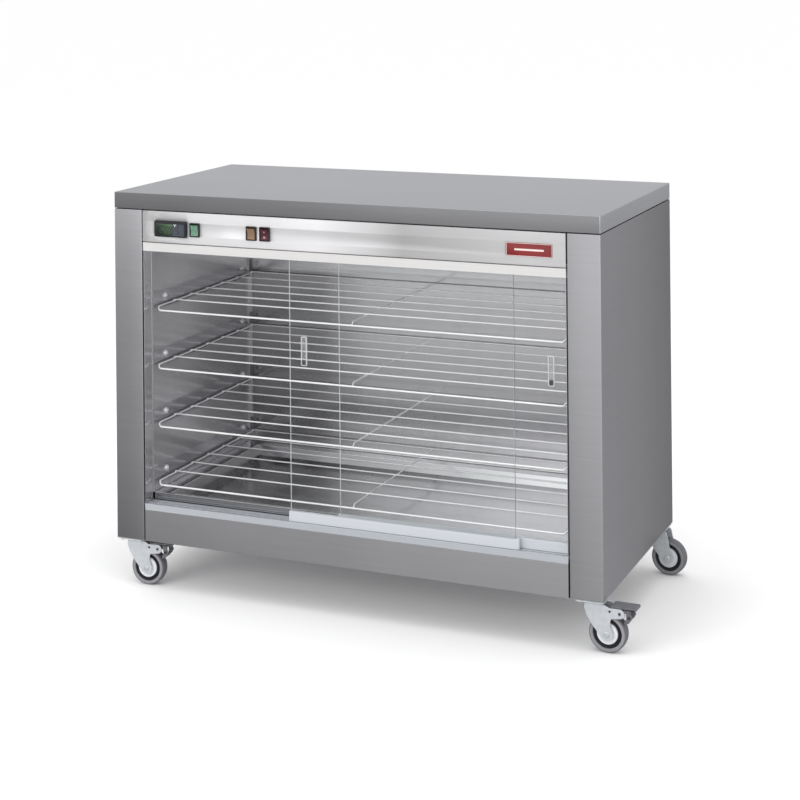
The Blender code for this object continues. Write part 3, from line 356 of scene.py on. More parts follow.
# The pane's right-facing edge: a near-black copy of the edge glass, painted shade
FAR_EDGE_PAINTED_SHADE = see_through("glass_far_edge_painted_shade", (0.30, 0.31, 0.36), (0.04, 0.04, 0.055), 0.95, 0.30)
CLEAR_PLASTIC = see_through("clear_plastic", (0.88, 0.89, 0.90), (0.80, 0.81, 0.82), 0.55, 0.12)
CLEAR_FLOOR = see_through("clear_floor", (0.93, 0.94, 0.94), (0.62, 0.63, 0.64), 0.07, 0.12)
CLEAR_RIB = see_through("clear_rib", (0.84, 0.85, 0.86), (0.62, 0.63, 0.65), 0.30, 0.12)
BLACK_PLASTIC = moulding("black_plastic", (0.010, 0.010, 0.012), 0.42)
SLATE_PLASTIC = moulding("slate_plastic", (0.046, 0.054, 0.070), 0.38)
DARK_PLASTIC = moulding("dark_plastic", (0.05, 0.05, 0.057), 0.5)
WHITE_INK = moulding("white_ink", (0.85, 0.85, 0.85), 0.5, relief=0.05)
DIM_INK = moulding("dim_ink", (0.16, 0.165, 0.17), 0.5, relief=0.05)
PALE_INK = moulding("pale_ink", (0.70, 0.58, 0.55), 0.45, relief=0.05)
RIM_PLASTIC = moulding("rim_plastic", (0.005, 0.005, 0.008), 0.5)
HUB_PLASTIC = moulding("hub_plastic", (0.66, 0.67, 0.71), 0.38, contrast=0.04)
RUBBER = moulding("grey_rubber", (0.245, 0.245, 0.265), 0.62, 500, 0.3, 0.12)
TREAD_RUBBER = moulding("tread_rubber", (0.130, 0.130, 0.142), 0.66, 500, 0.3, 0.12)
BADGE_RED = moulding("badge_red", (0.18, 0.008, 0.010), 0.34, contrast=0.15, relief=0.03, coat=0.15)
GREEN_LENS = lens("green_lens", (0.105, 0.215, 0.150), 0.10, 260)
ORANGE_LENS = lens("orange_lens", (0.20, 0.115, 0.066), 0.05, 700)
RED_LENS = lens("red_lens", (0.062, 0.006, 0.014), 0.03, 260)
FIGURE_GREEN = lens("figure_green", (0.030, 0.085, 0.030), 0.3, 260)
DISPLAY = display_window()


# ----------------------------------------------------------------- geometry


def arc(centre, radius, begin, end, steps):
    """Points on an arc, angles in degrees."""
    points = []
    for i in range(steps + 1):
        angle = math.radians(begin + (end - begin) * i / steps)
        x = centre[0] + radius * math.cos(angle)
        points.append((x, centre[1] + radius * math.sin(angle)))
    return points


def fillet(corners, radii, steps=6, closed=False):
    """Round the corners of a flat path; one radius for all, or one for each corner."""
    count = len(corners)
    path = []
    for i, corner in enumerate(corners):
        here = Vector(corner)
        radius = radii[i] if isinstance(radii, (list, tuple)) else radii
        if (not closed and i in (0, count - 1)) or radius == 0:
            path.append(tuple(here))
            continue
        back = Vector(corners[i - 1]) - here
        ahead = Vector(corners[(i + 1) % count]) - here
        half = back.angle(ahead) / 2
        cut = radius / math.tan(half)
        limit = 0.49 * min(back.length, ahead.length)
        if cut > limit:
            radius *= limit / cut
        middle = (back.normalized() + ahead.normalized()).normalized()
        centre = here + middle * (radius / math.sin(half))
        first = here + back.normalized() * (radius / math.tan(half)) - centre
        sweep = math.pi - 2 * half
        side = 1 if back.x * ahead.y - back.y * ahead.x < 0 else -1
        for k in range(steps + 1):
            turn = Matrix.Rotation(side * sweep * k / steps, 2)
            path.append(tuple(centre + turn @ first))
    return path


def folded(path, thickness):
    """Outline of a folded sheet: the path, and the path moved to its left."""
    moved = []
    for i, point in enumerate(path):
        here = Vector(point)
        first = (here - Vector(path[i - 1])).normalized() if i else None
        last = (Vector(path[i + 1]) - here).normalized() if i + 1 < len(path) else None
        first = first or last
        last = last or first
        normal = Vector((-first.y - last.y, first.x + last.x)).normalized()
        stretch = normal.dot(Vector((-first.y, first.x)))
        moved.append(tuple(here + normal * thickness / stretch))
    return list(path) + moved[::-1]


def rectangle(low, high, radius, steps=5):
    """Rounded rectangle between two corners of a plane, anticlockwise."""
    points = []
    corners = ((1, 1, 0), (0, 1, 90), (0, 0, 180), (1, 0, 270))
    for right, upper, begin in corners:
        x = high[0] - radius if right else low[0] + radius
        y = high[1] - radius if upper else low[1] + radius
        points += arc((x, y), radius, begin, begin + 90, steps)
    return points


PLACE = {
    "x": lambda a, b, t: Vector((t, a, b)),
    "y": lambda a, b, t: Vector((a, t, b)),
    "z": lambda a, b, t: Vector((a, b, t)),
}


def skin(bm, rings, closed=False, slot=0):
    """Join equal-length rings with quads and cap both ends, unless they close on themselves."""
    loops = [[bm.verts.new(p) for p in ring] for ring in rings]
    pairs = list(zip(loops[:-1], loops[1:]))
    if closed:
        pairs.append((loops[-1], loops[0]))
    made = []
    for lower, upper in pairs:
        for i in range(len(lower)):
            j = (i + 1) % len(lower)
            made.append(bm.faces.new((lower[i], lower[j], upper[j], upper[i])))
    if not closed:
        made.append(bm.faces.new(loops[0][::-1]))
        made.append(bm.faces.new(loops[-1]))
    for face in made:
        face.material_index = slot


def extrude(bm, outline, axis, begin, end):
    place = PLACE[axis]
    skin(bm, [[place(a, b, t) for a, b in outline] for t in (begin, end)])


def block(bm, low, high):
    outline = [(low[0], low[1]), (high[0], low[1]), (high[0], high[1]), (low[0], high[1])]
    extrude(bm, outline, "z", low[2], high[2])


def lathe(bm, profile, axis="y", centre=(0, 0, 0), segments=48, closed=False, slot=0):
    """Turn (radius, distance along axis) points; a closed profile makes a ring."""
    rings = []
    for radius, along in profile:
        ring = []
        for i in range(segments):
            angle = 2 * math.pi * i / segments
            across, up = radius * math.cos(angle), radius * math.sin(angle)
            ring.append(PLACE[axis](across, up, along) + Vector(centre))
        rings.append(ring)
    skin(bm, rings, closed, slot)


def wire(bm, points, radius, sides=14):
    """Round wire with domed ends, along points that run level or nearly so."""
    path = [Vector(p) for p in points]
    first = (path[1] - path[0]).normalized()
    last = (path[-1] - path[-2]).normalized()
    tip = [(0.45, 0.35), (0.85, 0.75)]
    shoulder = 1.4
    head = [path[0] + first * radius * depth for _, depth in tip]
    tail = [path[-1] - last * radius * depth for _, depth in tip[::-1]]
    sizes = [size for size, _ in tip]
    begin = [path[0] + first * radius * shoulder]
    end = [path[-1] - last * radius * shoulder]
    path = head + begin + path[1:-1] + end + tail
    scales = sizes + [1.0] * (len(path) - 4) + sizes[::-1]
    rings = []
    for i, here in enumerate(path):
        before = path[i - 1] if i else here
        after = path[i + 1] if i + 1 < len(path) else here
        inward = (here - before).normalized() if before != here else (after - here).normalized()
        onward = (after - here).normalized() if after != here else inward
        forward = (inward + onward).normalized()
        side = forward.cross(Vector((0, 0, 1)))
        stretch = 1 / max(0.5, forward.dot(inward))
        ring = []
        for k in range(sides):
            angle = 2 * math.pi * (k + 0.5) / sides
            across = side * (math.cos(angle) * stretch) + Vector((0, 0, math.sin(angle)))
            ring.append(here + across * radius * scales[i])
        rings.append(ring)
    skin(bm, rings)


def place_mirrored(points):
    return [(2 * CENTRE_X - x, y) for x, y in points]


def both_sides(half):
    """Closed wheel profile from its outer half: (radius, distance from the middle)."""
    return half + [(radius, -along) for radius, along in half[::-1]]


def bezel_ring(low, high, inset, y, radius):
    """Rounded rectangle facing the front, drawn in from a box's outline."""
    corners = ((low.x + inset, low.z + inset), (high.x - inset, high.z - inset))
    return [(x, y, z) for x, z in rectangle(*corners, radius)]


def face_of(centre, half_width, half_height):
    """Low and high corners of a plain rectangle round a point, facing the front."""
    low = Vector((centre.x - half_width, 0, centre.z - half_height))
    high = Vector((centre.x + half_width, 0, centre.z + half_height))
    return low, high


# ------------------------------------------------------------------- pieces


def finish_mesh(mesh, bm, materials, smooth):
    bmesh.ops.recalc_face_normals(bm, faces=bm.faces)
    bm.to_mesh(mesh)
    bm.free()
    for material in materials:
        mesh.materials.append(material)
    mesh.shade_smooth()
    mesh.set_sharp_from_angle(angle=math.radians(smooth))


def soften(made, width, segments=2):
    step = made.modifiers.new("edge_rounding", "BEVEL")
    step.width = width
    step.segments = segments
    step.limit_method = "ANGLE"
    step.angle_limit = math.radians(32)
    step.harden_normals = True


def thicken(made, thickness, even=False):
    """Give a sheet its thickness on the inner side."""
    step = made.modifiers.new("sheet", "SOLIDIFY")
    step.thickness = thickness
    step.offset = -1
    step.use_even_offset = even


def piece(name, bm, materials, body="cabinet", stands_for=(), edge=0.0, smooth=32, at=None, turn=0.0):
    if not isinstance(materials, (list, tuple)):
        materials = (materials,)
    if isinstance(bm, bpy.types.Mesh):
        mesh = bm
    else:
        mesh = bpy.data.meshes.new(name)
        finish_mesh(mesh, bm, materials, smooth)
    made = bpy.data.objects.new(name, mesh)
    bpy.context.scene.collection.objects.link(made)
    if at is not None:
        made.location = at
    made.rotation_euler = (0, 0, turn)
    if edge:
        soften(made, edge)
    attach(made, body)
    if stands_for:
        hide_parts(*stands_for)
    return made


def dress(node, material, edge=0.0):
    """Keep a CAD node, give it its material, and soften its edges."""
    made = frame["nodes"][node]
    made.data.materials.clear()
    made.data.materials.append(material)
    marks = made.data.attributes.get("custom_normal")
    if marks:
        made.data.attributes.remove(marks)
    made.data.shade_smooth()
    join = made.modifiers.new("join", "WELD")
    join.merge_threshold = 0.00001
    if edge:
        soften(made, edge)


def build_worktop():
    """Folded top with rounded edges and a hem turned in under the fold."""
    hem, round_top, round_hem, corner = 0.013, 0.0018, 0.0010, 0.0022

    def ring(inset, z):
        low = (LEFT + inset, FRONT + inset)
        high = (RIGHT - inset, BACK - inset)
        return [(x, y, z) for x, y in rectangle(low, high, max(0.0006, corner - inset))]

    rings = [
        ring(SHEET, TOP_HIGH.z - SHEET),
        ring(SHEET, TOP_LOW.z + SHEET),
        ring(hem, TOP_LOW.z + SHEET),
        ring(hem, TOP_LOW.z),
    ]
    for distance, height in arc((round_hem, round_hem), round_hem, 270, 180, 4):
        rings.append(ring(distance, TOP_LOW.z + height))
    for distance, height in arc((round_top, -round_top), round_top, 180, 90, 6):
        rings.append(ring(distance, TOP_HIGH.z + height))
    bm = bmesh.new()
    skin(bm, rings)
    bmesh.ops.recalc_face_normals(bm, faces=bm.faces)
    # Faces towards the front take the painted-shade copy, faces towards the sides the painted-light copy
    for face in bm.faces:
        face.material_index = 1 if face.normal.y < -0.9 else 2 if abs(face.normal.x) > 0.9 else 0
    skins = (TOP_STEEL, FOLD_PAINTED_SHADE_STEEL, END_PAINTED_LIGHT_STEEL)
    piece("worktop_sheet", bm, skins, stands_for=("worktop",), smooth=40)


def build_side_panels():
    """Side sheets that fold round the front as posts and return into the opening."""
    post_return, rear_flange, bend, inner_bend = 0.028, 0.018, 0.003, 0.0018
    low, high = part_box("left_side_panel")
    corners = [
        (low.x + rear_flange, high.y),
        (low.x, high.y),
        (low.x, low.y),
        (high.x, low.y),
        (high.x, low.y + post_return),
    ]
    path = fillet(corners, [0, bend, bend, inner_bend, 0], 8)
    outline = folded(path, SHEET)
    sides = (("left", outline, LEFT_PAINTED_LIGHT_STEEL), ("right", place_mirrored(outline), SIDE_PAINTED_SHADE_STEEL))
    for side, shape, steel in sides:
        bm = bmesh.new()
        extrude(bm, shape, "z", low.z, high.z)
        piece(side + "_side_sheet", bm, steel, stands_for=(side + "_side_panel",), edge=0.0002)


def build_control_strip():
    """Bent strip above the doors, with a cut-out behind each fitting."""
    top_return, bottom_return, bend = 0.012, 0.031, 0.002
    low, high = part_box("control_panel")
    holes = [("thermostat", 0.0030)]
    holes += [(name + "_switch_housing", 0.0011) for name in ("green", "orange", "red")]
    openings = []
    for node, inset in holes:
        first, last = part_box(node)
        openings.append((first.x + inset, last.x - inset, first.z + inset, last.z - inset))
    corners = [
        (low.y + top_return, high.z),
        (low.y, high.z),
        (low.y, low.z),
        (low.y + bottom_return, low.z),
    ]
    path = fillet(corners, bend, 8)
    turn = path.index(max((p for p in path if abs(p[0] - low.y) < 1e-6), key=lambda p: p[1]))
    heights = sorted({z for opening in openings for z in opening[2:]}, reverse=True)
    path[turn + 1:turn + 1] = [(low.y, z) for z in heights]
    stations = sorted({low.x, high.x} | {x for opening in openings for x in opening[:2]})
    bm = bmesh.new()
    rows = [[bm.verts.new((x, y, z)) for y, z in path] for x in stations]
    for i, (near, far) in enumerate(zip(rows[:-1], rows[1:])):
        for k in range(len(path) - 1):
            x = (stations[i] + stations[i + 1]) / 2
            z = (path[k][1] + path[k + 1][1]) / 2
            if any(a < x < b and c < z < d for a, b, c, d in openings) and path[k][0] < low.y + 1e-5:
                continue
            bm.faces.new((near[k], near[k + 1], far[k + 1], far[k]))
    thicken(piece("control_strip", bm, PANEL_STEEL, stands_for=("control_panel",), smooth=20), SHEET)


def build_shell():
    for node in ("back_panel", "base_panel"):
        dress(node, PLINTH_STEEL, 0.0004)
    for node in ("left_liner", "right_liner"):
        dress(node, WALL_PAINTED_SHADE_STEEL, 0.0003)
    dress("back_liner", REAR_STEEL, 0.0003)
    dress("ceiling_liner", LINER_STEEL, 0.0003)
    dress("floor_pan", PAN_STEEL, 0.0005)
    dress("heating_element", ELEMENT)
    dress("bottom_track", SILL_ALUMINIUM, 0.0003)
    dress("top_track", HEAD_ALUMINIUM, 0.0004)


def build_back_screws():
    """Pan-head screws round the back panel."""
    low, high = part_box("back_panel")
    inset, head, dome = 0.010, 0.0040, 0.0020
    spots = []
    for i in range(6):
        x = low.x + inset + (high.x - low.x - 2 * inset) * i / 5
        spots += [(x, low.z + inset), (x, high.z - inset)]
    for i in range(1, 4):
        z = low.z + inset + (high.z - low.z - 2 * inset) * i / 4
        spots += [(low.x + inset, z), (high.x - inset, z)]
    bm = bmesh.new()
    profile = [(0.0015, -0.0004), (head, -0.0004), (head, dome * 0.35)]
    profile += [(head * 0.82, dome * 0.8), (head * 0.45, dome), (0.0016, dome)]
    profile += [(0.0014, dome * 0.55)]
    for x, z in spots:
        lathe(bm, profile, "y", (x, high.y, z), 20)
    piece("back_panel_screws", bm, BOLT_ZINC)


def let_light_by(made):
    """Bounced light passes a clear piece as if it weren't there, so the inside stays bright."""
    made.visible_diffuse = False
    made.visible_glossy = False
    made.visible_shadow = False


def build_door(door, cap_at_right):
    low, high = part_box(door + "_glass")
    bm = bmesh.new()
    block(bm, low, high)
    bmesh.ops.recalc_face_normals(bm, faces=bm.faces)
    # Faces towards the right take the painted-shade edge
    for face in bm.faces:
        face.material_index = 0 if abs(face.normal.y) > 0.5 else 2 if face.normal.x > 0.5 else 1
    made = piece(door + "_pane", bm, (GLASS, GLASS_EDGE, FAR_EDGE_PAINTED_SHADE), door, (door + "_glass",))
    soften(made, 0.0005, 1)
    made.modifiers["edge_rounding"].material = 1
    let_light_by(made)

    dress(door + "_shoe", ALUMINIUM, 0.0003)
    shoe_low, shoe_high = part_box(door + "_shoe")
    middle = (shoe_low.y + shoe_high.y) / 2
    half = (shoe_high.y - shoe_low.y) / 2 + 0.0005
    length = 0.005
    end = shoe_high.x - length if cap_at_right else shoe_low.x - 0.0003
    keel = 0.0050
    bm = bmesh.new()
    cap_low = (middle - half, shoe_low.z + keel + 0.0006)
    cap_high = (middle + half, shoe_high.z + 0.0009)
    extrude(bm, rectangle(cap_low, cap_high, 0.0008), "x", end, end + length + 0.0003)
    piece(door + "_end_cap", bm, ALUMINIUM, door, edge=0.0002)


def build_grip(door):
    """Clear finger strip: a walled channel with slanting ribs and a dark lower end."""
    low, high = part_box(door + "_handle")
    wall, floor, tip = 0.0018, 0.0012, 0.0130
    front, rear = low.y, high.y
    rings = [
        bezel_ring(low, high, 0, rear, 0.004),
        bezel_ring(low, high, 0, front + 0.0006, 0.004),
        bezel_ring(low, high, 0.0006, front, 0.0036),
        bezel_ring(low, high, wall, front, 0.0024),
        bezel_ring(low, high, wall + 0.0002, rear - floor, 0.0022),
    ]
    bm = bmesh.new()
    skin(bm, rings)
    for face in bm.faces:
        face.material_index = 1 if len(face.verts) > 4 else 0
    skins = (CLEAR_PLASTIC, CLEAR_FLOOR)
    let_light_by(piece(door + "_grip", bm, skins, door, (door + "_handle",), smooth=40))

    bm = bmesh.new()
    first, last, count = low.z + tip + 0.004, high.z - 0.006, 8
    slope, thick = 0.0016, 0.0011
    left, right = low.x + wall + 0.0002, high.x - wall - 0.0002
    for i in range(count):
        z = first + (last - first) * i / (count - 1)
        outline = [(left, z + slope), (left, z + slope - thick)]
        outline += [(right, z - slope - thick), (right, z - slope)]
        extrude(bm, outline, "y", front + 0.0008, rear - floor - 0.0001)
    let_light_by(piece(door + "_grip_ribs", bm, CLEAR_RIB, door, edge=0.0002))

    bm = bmesh.new()
    corners = ((low.x + wall + 0.0005, low.z + wall + 0.0005), (high.x - wall - 0.0005, low.z + tip))
    outline = rectangle(*corners, 0.0030)
    extrude(bm, outline, "y", front + 0.0004, rear - floor - 0.0001)
    piece(door + "_grip_tip", bm, DARK_PLASTIC, door, edge=0.0005)


def build_racks():
    """Chromed racks: a frame whose front wire dips, cross wires welded on top, one rib below."""
    low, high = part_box("rack_1")
    frame_wire, cross_wire, lift, dip, count, corner = 0.0022, 0.0017, 0.0034, 0.0075, 6, 0.008
    left, right = low.x + frame_wire, high.x - frame_wire
    front, back = low.y + frame_wire, high.y - cross_wire
    level = low.z + frame_wire + dip
    bend = fillet([(left, back), (left, front), (CENTRE_X, front)], corner, 12)[1:-1]
    side = [(left, back + cross_wire, 0)]
    for i, (x, y) in enumerate(bend):
        share = i / (len(bend) - 1)
        side.append((x, y, -dip * share * share * (3 - 2 * share)))
    bm = bmesh.new()
    wire(bm, side + [(2 * CENTRE_X - x, y, z) for x, y, z in side[::-1]], frame_wire)
    pitch = (back - front) / count
    reach = frame_wire * 0.75
    for i in range(count):
        y = front + pitch * (i + 1)
        wire(bm, [(left - reach, y, lift), (right + reach, y, lift)], cross_wire)
        for x in (left, right, CENTRE_X):
            size = 0.0031 if x != CENTRE_X else 0.0021
            nugget = [(size * 0.5, -size * 0.8), (size, -size * 0.2), (size * 0.9, size * 0.4)]
            lathe(bm, nugget, "z", (x, y, lift * 0.62), 12)
    rib = [(CENTRE_X, front + 0.0004, -dip), (CENTRE_X, front + corner, 0), (CENTRE_X, back, 0)]
    wire(bm, rib, cross_wire * 1.1)
    mesh = bpy.data.meshes.new("rack_wires")
    finish_mesh(mesh, bm, [CHROME], 50)
    for number in range(1, 5):
        node = f"rack_{number}"
        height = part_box(node)[0].z - low.z + level
        piece(f"wire_{node}", mesh, CHROME, node + "_body", (node,), at=(0, 0, height))


def build_hangers():
    """Angle rails, the bent foot cut back at the front, with two dome-headed studs."""
    low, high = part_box("hanger_left_1")
    sheet, stud_rise, stud_radius, stud_head = 0.0015, 0.0212, 0.0060, 0.0056
    bend, cut = 0.0022, 0.0170
    path = fillet([(low.x, high.z), (low.x, low.z), (high.x, low.z)], [0, bend, 0], 6)
    outline = folded(path, sheet)
    bm = bmesh.new()
    rings = []
    stations = ((low.y, 0.02), (low.y + cut, 0.02), (low.y + cut + 0.0006, 1.0), (high.y, 1.0))
    for y, share in stations:
        stub = low.x + bend
        rings.append([(stub + (x - stub) * share if x > stub else x, y, z) for x, z in outline])
    skin(bm, rings)
    face = low.x + sheet
    for offset in (0.088, 0.465):
        base = [(stud_radius * 1.15, -0.0003), (stud_radius * 1.15, 0.0006), (stud_radius, 0.0007)]
        dome = [(stud_radius, 0.0020), (stud_radius * 0.93, 0.0036), (stud_radius * 0.66, 0.0050)]
        crown = [(stud_radius * 0.32, stud_head)]
        place = (face, FRONT + offset, low.z + stud_rise)
        lathe(bm, base + dome + crown, "x", place, 24, slot=1)
    meshes = {side: bpy.data.meshes.new("hanger_rail_" + side) for side in ("left", "right")}
    other = bm.copy()
    for vertex in other.verts:
        vertex.co.x = 2 * CENTRE_X - vertex.co.x
    finish_mesh(meshes["left"], bm, [RAIL_PAINTED_SHADE_STEEL, STUD_PAINTED_HIGHLIGHT], 40)
    finish_mesh(meshes["right"], other, [RAIL_PAINTED_SHADE_STEEL, STUD_PAINTED_HIGHLIGHT], 40)
    for number in range(1, 5):
        for side, mesh in meshes.items():
            node = f"hanger_{side}_{number}"
            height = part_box(node)[0].z - low.z
            piece(f"{node}_rail", mesh, RAIL_PAINTED_SHADE_STEEL, "cabinet", (node,), 0.0002, at=(0, 0, height))


def digit(bm, x, y, z, width, height, stroke, lit):
    """Seven-segment figure drawn as slim bars."""
    half = height / 2
    bars = {
        "a": (x, z + height, width, 0),
        "g": (x, z + half, width, 0),
        "d": (x, z, width, 0),
        "f": (x, z + half, 0, half),
        "b": (x + width, z + half, 0, half),
        "e": (x, z, 0, half),
        "c": (x + width, z, 0, half),
    }
    gap = stroke * 0.7
    for key in lit:
        bx, bz, across, up = bars[key]
        if across:
            low, high = (bx + gap, bz - stroke / 2), (bx + across - gap, bz + stroke / 2)
        else:
            low, high = (bx - stroke / 2, bz + gap), (bx + stroke / 2, bz + up - gap)
        extrude(bm, rectangle(low, high, stroke * 0.3, 2), "y", y - 0.0001, y + 0.0001)


def build_thermostat():
    """Bezel with a sunk faceplate, a green window, keys and small plain marks."""
    low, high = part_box("thermostat")
    front = low.y
    seat = FRONT - 0.0003
    body_low, body_high = face_of((low + high) / 2, 0.0355, 0.0145)
    sunk_low = Vector((low.x + 0.0035, 0, low.z + 0.0025))
    sunk_high = Vector((high.x - 0.0045, 0, high.z - 0.0055))
    depth = 0.0010
    rings = [
        bezel_ring(body_low, body_high, 0, high.y, 0.001),
        bezel_ring(body_low, body_high, 0, seat, 0.001),
        bezel_ring(low, high, 0, seat, 0.0025),
        bezel_ring(low, high, 0, front + 0.0012, 0.0025),
        bezel_ring(low, high, 0.0004, front + 0.0004, 0.0022),
        bezel_ring(low, high, 0.0012, front, 0.0020),
        bezel_ring(sunk_low, sunk_high, -0.0003, front, 0.0014),
        bezel_ring(sunk_low, sunk_high, 0.0005, front + depth, 0.0010),
    ]
    bm = bmesh.new()
    skin(bm, rings)
    bm.faces.ensure_lookup_table()
    bm.faces[-1].material_index = 1
    piece("thermostat_case", bm, (BLACK_PLASTIC, SLATE_PLASTIC), stands_for=("thermostat",), smooth=45)
    build_display(low, high, front + depth)
    for name, sign in (("up", 1), ("down", -1)):
        build_key("thermostat_key_" + name, sign)


def build_display(low, high, plate):
    """Green window with three figures, and a degree mark beside it on the faceplate."""
    front = low.y
    window_low = Vector((low.x + 0.0050, 0, low.z + 0.0035))
    window_high = Vector((low.x + 0.0465, 0, high.z - 0.0075))
    bm = bmesh.new()
    steps = ((0, plate + 0.0003, 0.001), (0, front + 0.0005, 0.001), (0.0004, front + 0.0002, 0.0008))
    skin(bm, [bezel_ring(window_low, window_high, *step) for step in steps])
    piece("thermostat_window", bm, DISPLAY, smooth=40)

    bm = bmesh.new()
    figures = ("abged", "abcdefg", "acdfg")
    width, height, stroke, pitch = 0.0062, 0.0125, 0.0011, 0.0100
    base = window_low.x + 0.0100
    foot = window_low.z + 0.0055
    for i, lit in enumerate(figures):
        digit(bm, base + pitch * i, front + 0.0002, foot, width, height, stroke, lit)
    piece("display_figures", bm, FIGURE_GREEN)

    bm = bmesh.new()
    mark_x, mark_z, y = low.x + 0.0505, high.z - 0.0095, plate
    ring_profile = [(0.0006, -0.0001), (0.0011, -0.0001), (0.0011, 0.0001), (0.0006, 0.0001)]
    lathe(bm, ring_profile, "y", (mark_x, y, mark_z + 0.0020), 16, True)
    outer = arc((mark_x + 0.0045, mark_z - 0.0005), 0.0030, 50, 310, 14)
    inner = arc((mark_x + 0.0045, mark_z - 0.0005), 0.0019, 310, 50, 14)
    extrude(bm, outer + inner, "y", y - 0.0001, y + 0.0001)
    piece("degree_mark", bm, WHITE_INK)


def build_key(node, sign):
    """Soft key with a small arrow that points up or down by its sign."""
    low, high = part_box(node)
    body = node + "_body"
    front = low.y
    steps = ((0, high.y, 0.0010), (0, front + 0.0005, 0.0010))
    steps += ((0.0003, front + 0.0001, 0.0009), (0.0008, front, 0.0007))
    bm = bmesh.new()
    skin(bm, [bezel_ring(low, high, *step) for step in steps])
    piece(node + "_pad", bm, DARK_PLASTIC, body, (node,), smooth=50)
    x, z = (low.x + high.x) / 2, (low.z + high.z) / 2
    size = 0.0013
    foot = z - sign * size * 0.7
    bm = bmesh.new()
    arrow = [(x - size, foot), (x + size, foot), (x, z + sign * size)]
    extrude(bm, arrow, "y", front - 0.0001, front + 0.0002)
    piece(node + "_arrow", bm, DIM_INK, body)


# The rocker's face: half its height, how far its waist stands out, and the waist's depth
ROCKER_REACH, ROCKER_CREST, ROCKER_DIP = 0.0121, -0.0070, 0.0026
ROCKER_TILT = Matrix.Rotation(math.radians(8), 2)


def rocker_face(share):
    """Point (depth, height) on the rocker's face, from -1 at its foot to 1 at its top."""
    depth = ROCKER_CREST + ROCKER_DIP * (1 - abs(share) ** 1.8)
    return depth, ROCKER_REACH * share


def build_switch(name, material):
    """Snap-in rocker switch: rounded bezel with an open pocket, and its tilted rocker."""
    low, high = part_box(name + "_housing")
    centre = (low + high) / 2
    front, seat = low.y, FRONT - 0.0003
    body = face_of(centre, 0.011, 0.0143)
    pocket = face_of(centre, 0.0096, 0.0132)
    rings = [
        bezel_ring(*body, 0, high.y, 0.0010),
        bezel_ring(*body, 0, seat, 0.0010),
        bezel_ring(low, high, 0, seat, 0.0018),
        bezel_ring(low, high, 0, front + 0.0014, 0.0018),
        bezel_ring(low, high, 0.0004, front + 0.0004, 0.0016),
        bezel_ring(low, high, 0.0012, front, 0.0014),
        bezel_ring(*pocket, -0.0006, front, 0.0012),
        bezel_ring(*pocket, 0, front + 0.0006, 0.0006),
        bezel_ring(*pocket, 0, FRONT + 0.010, 0.0006),
    ]
    bm = bmesh.new()
    skin(bm, rings)
    piece(name + "_bezel", bm, BLACK_PLASTIC, stands_for=(name + "_housing",), smooth=45)

    joint = JOINTS[name + "_tilt"]
    pivot = Vector(joint["pos_m"])
    rocker_low, rocker_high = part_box(name + "_rocker")
    outline = [rocker_face(1 - 2 * i / 12) for i in range(13)]
    for depth, share in ((0.001, -0.9), (0.0035, -0.45), (0.0035, 0.45), (0.001, 0.9)):
        outline.append((depth, ROCKER_REACH * share))
    outline = [tuple(ROCKER_TILT @ Vector(point)) for point in outline]
    bm = bmesh.new()
    extrude(bm, outline, "x", rocker_low.x - pivot.x, rocker_high.x - pivot.x)
    body = name + "_rocker_body"
    piece(name + "_cap", bm, material, body, (name + "_rocker",), 0.0004, at=pivot)
    return pivot, body


def build_rocker_marks(pivot, body):
    """Plain on and off marks, a bar and a ring, lying on the rocker's face."""
    bm = bmesh.new()
    y, z = ROCKER_TILT @ Vector(rocker_face(0.52))
    bar = rectangle((-0.0005, z - 0.0021), (0.0005, z + 0.0021), 0.0002, 2)
    extrude(bm, bar, "y", y - 0.0004, y + 0.0010)
    y, z = ROCKER_TILT @ Vector(rocker_face(-0.52))
    profile = [(0.0013, -0.0002), (0.0020, -0.0002), (0.0020, 0.0008), (0.0013, 0.0008)]
    lathe(bm, profile, "y", (0, y - 0.0002, z), 24, True)
    piece("on_off_marks", bm, PALE_INK, body, at=pivot)


def build_badge():
    """Plain red plate with a fine pale border and a plain bar."""
    low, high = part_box("front_badge")
    rings = [
        bezel_ring(low, high, 0, high.y, 0.0015),
        bezel_ring(low, high, 0, low.y + 0.0004, 0.0015),
        bezel_ring(low, high, 0.0004, low.y, 0.0013),
    ]
    bm = bmesh.new()
    skin(bm, rings)
    piece("badge_plate", bm, BADGE_RED, stands_for=("front_badge",), smooth=50)
    bm = bmesh.new()
    rings = [
        bezel_ring(low, high, 0.0005, low.y + 0.0001, 0.0012),
        bezel_ring(low, high, 0.0005, low.y - 0.0001, 0.0012),
        bezel_ring(low, high, 0.0014, low.y - 0.0001, 0.0008),
        bezel_ring(low, high, 0.0014, low.y + 0.0001, 0.0008),
    ]
    skin(bm, rings, closed=True)
    middle = (low.z + high.z) / 2
    bar = rectangle((low.x + 0.018, middle - 0.0020), (high.x - 0.018, middle + 0.0020), 0.0019)
    extrude(bm, bar, "y", low.y - 0.0001, low.y + 0.0001)
    piece("badge_border", bm, PALE_INK, smooth=50)


# ------------------------------------------------------------------ casters
# Local frame: u runs from the swivel to the trailing wheel, v across, z up.

FORK_HALF, FORK_SHEET = 0.0173, 0.0025
FORK_TOP, FORK_NOSE = -0.0073, -0.015
TRAIL, AXLE_Z = 0.0335, -0.068
HORN_U, HORN_Z = 0.062, -0.0225


def hexagon(bm, centre, across, thick, axis="z"):
    """Hexagon head with chamfered rims."""
    radius = across / math.sqrt(3)
    profile = [(radius * 0.9, 0), (radius, thick * 0.15)]
    profile += [(radius, thick * 0.85), (radius * 0.88, thick)]
    lathe(bm, profile, axis, centre, 6)


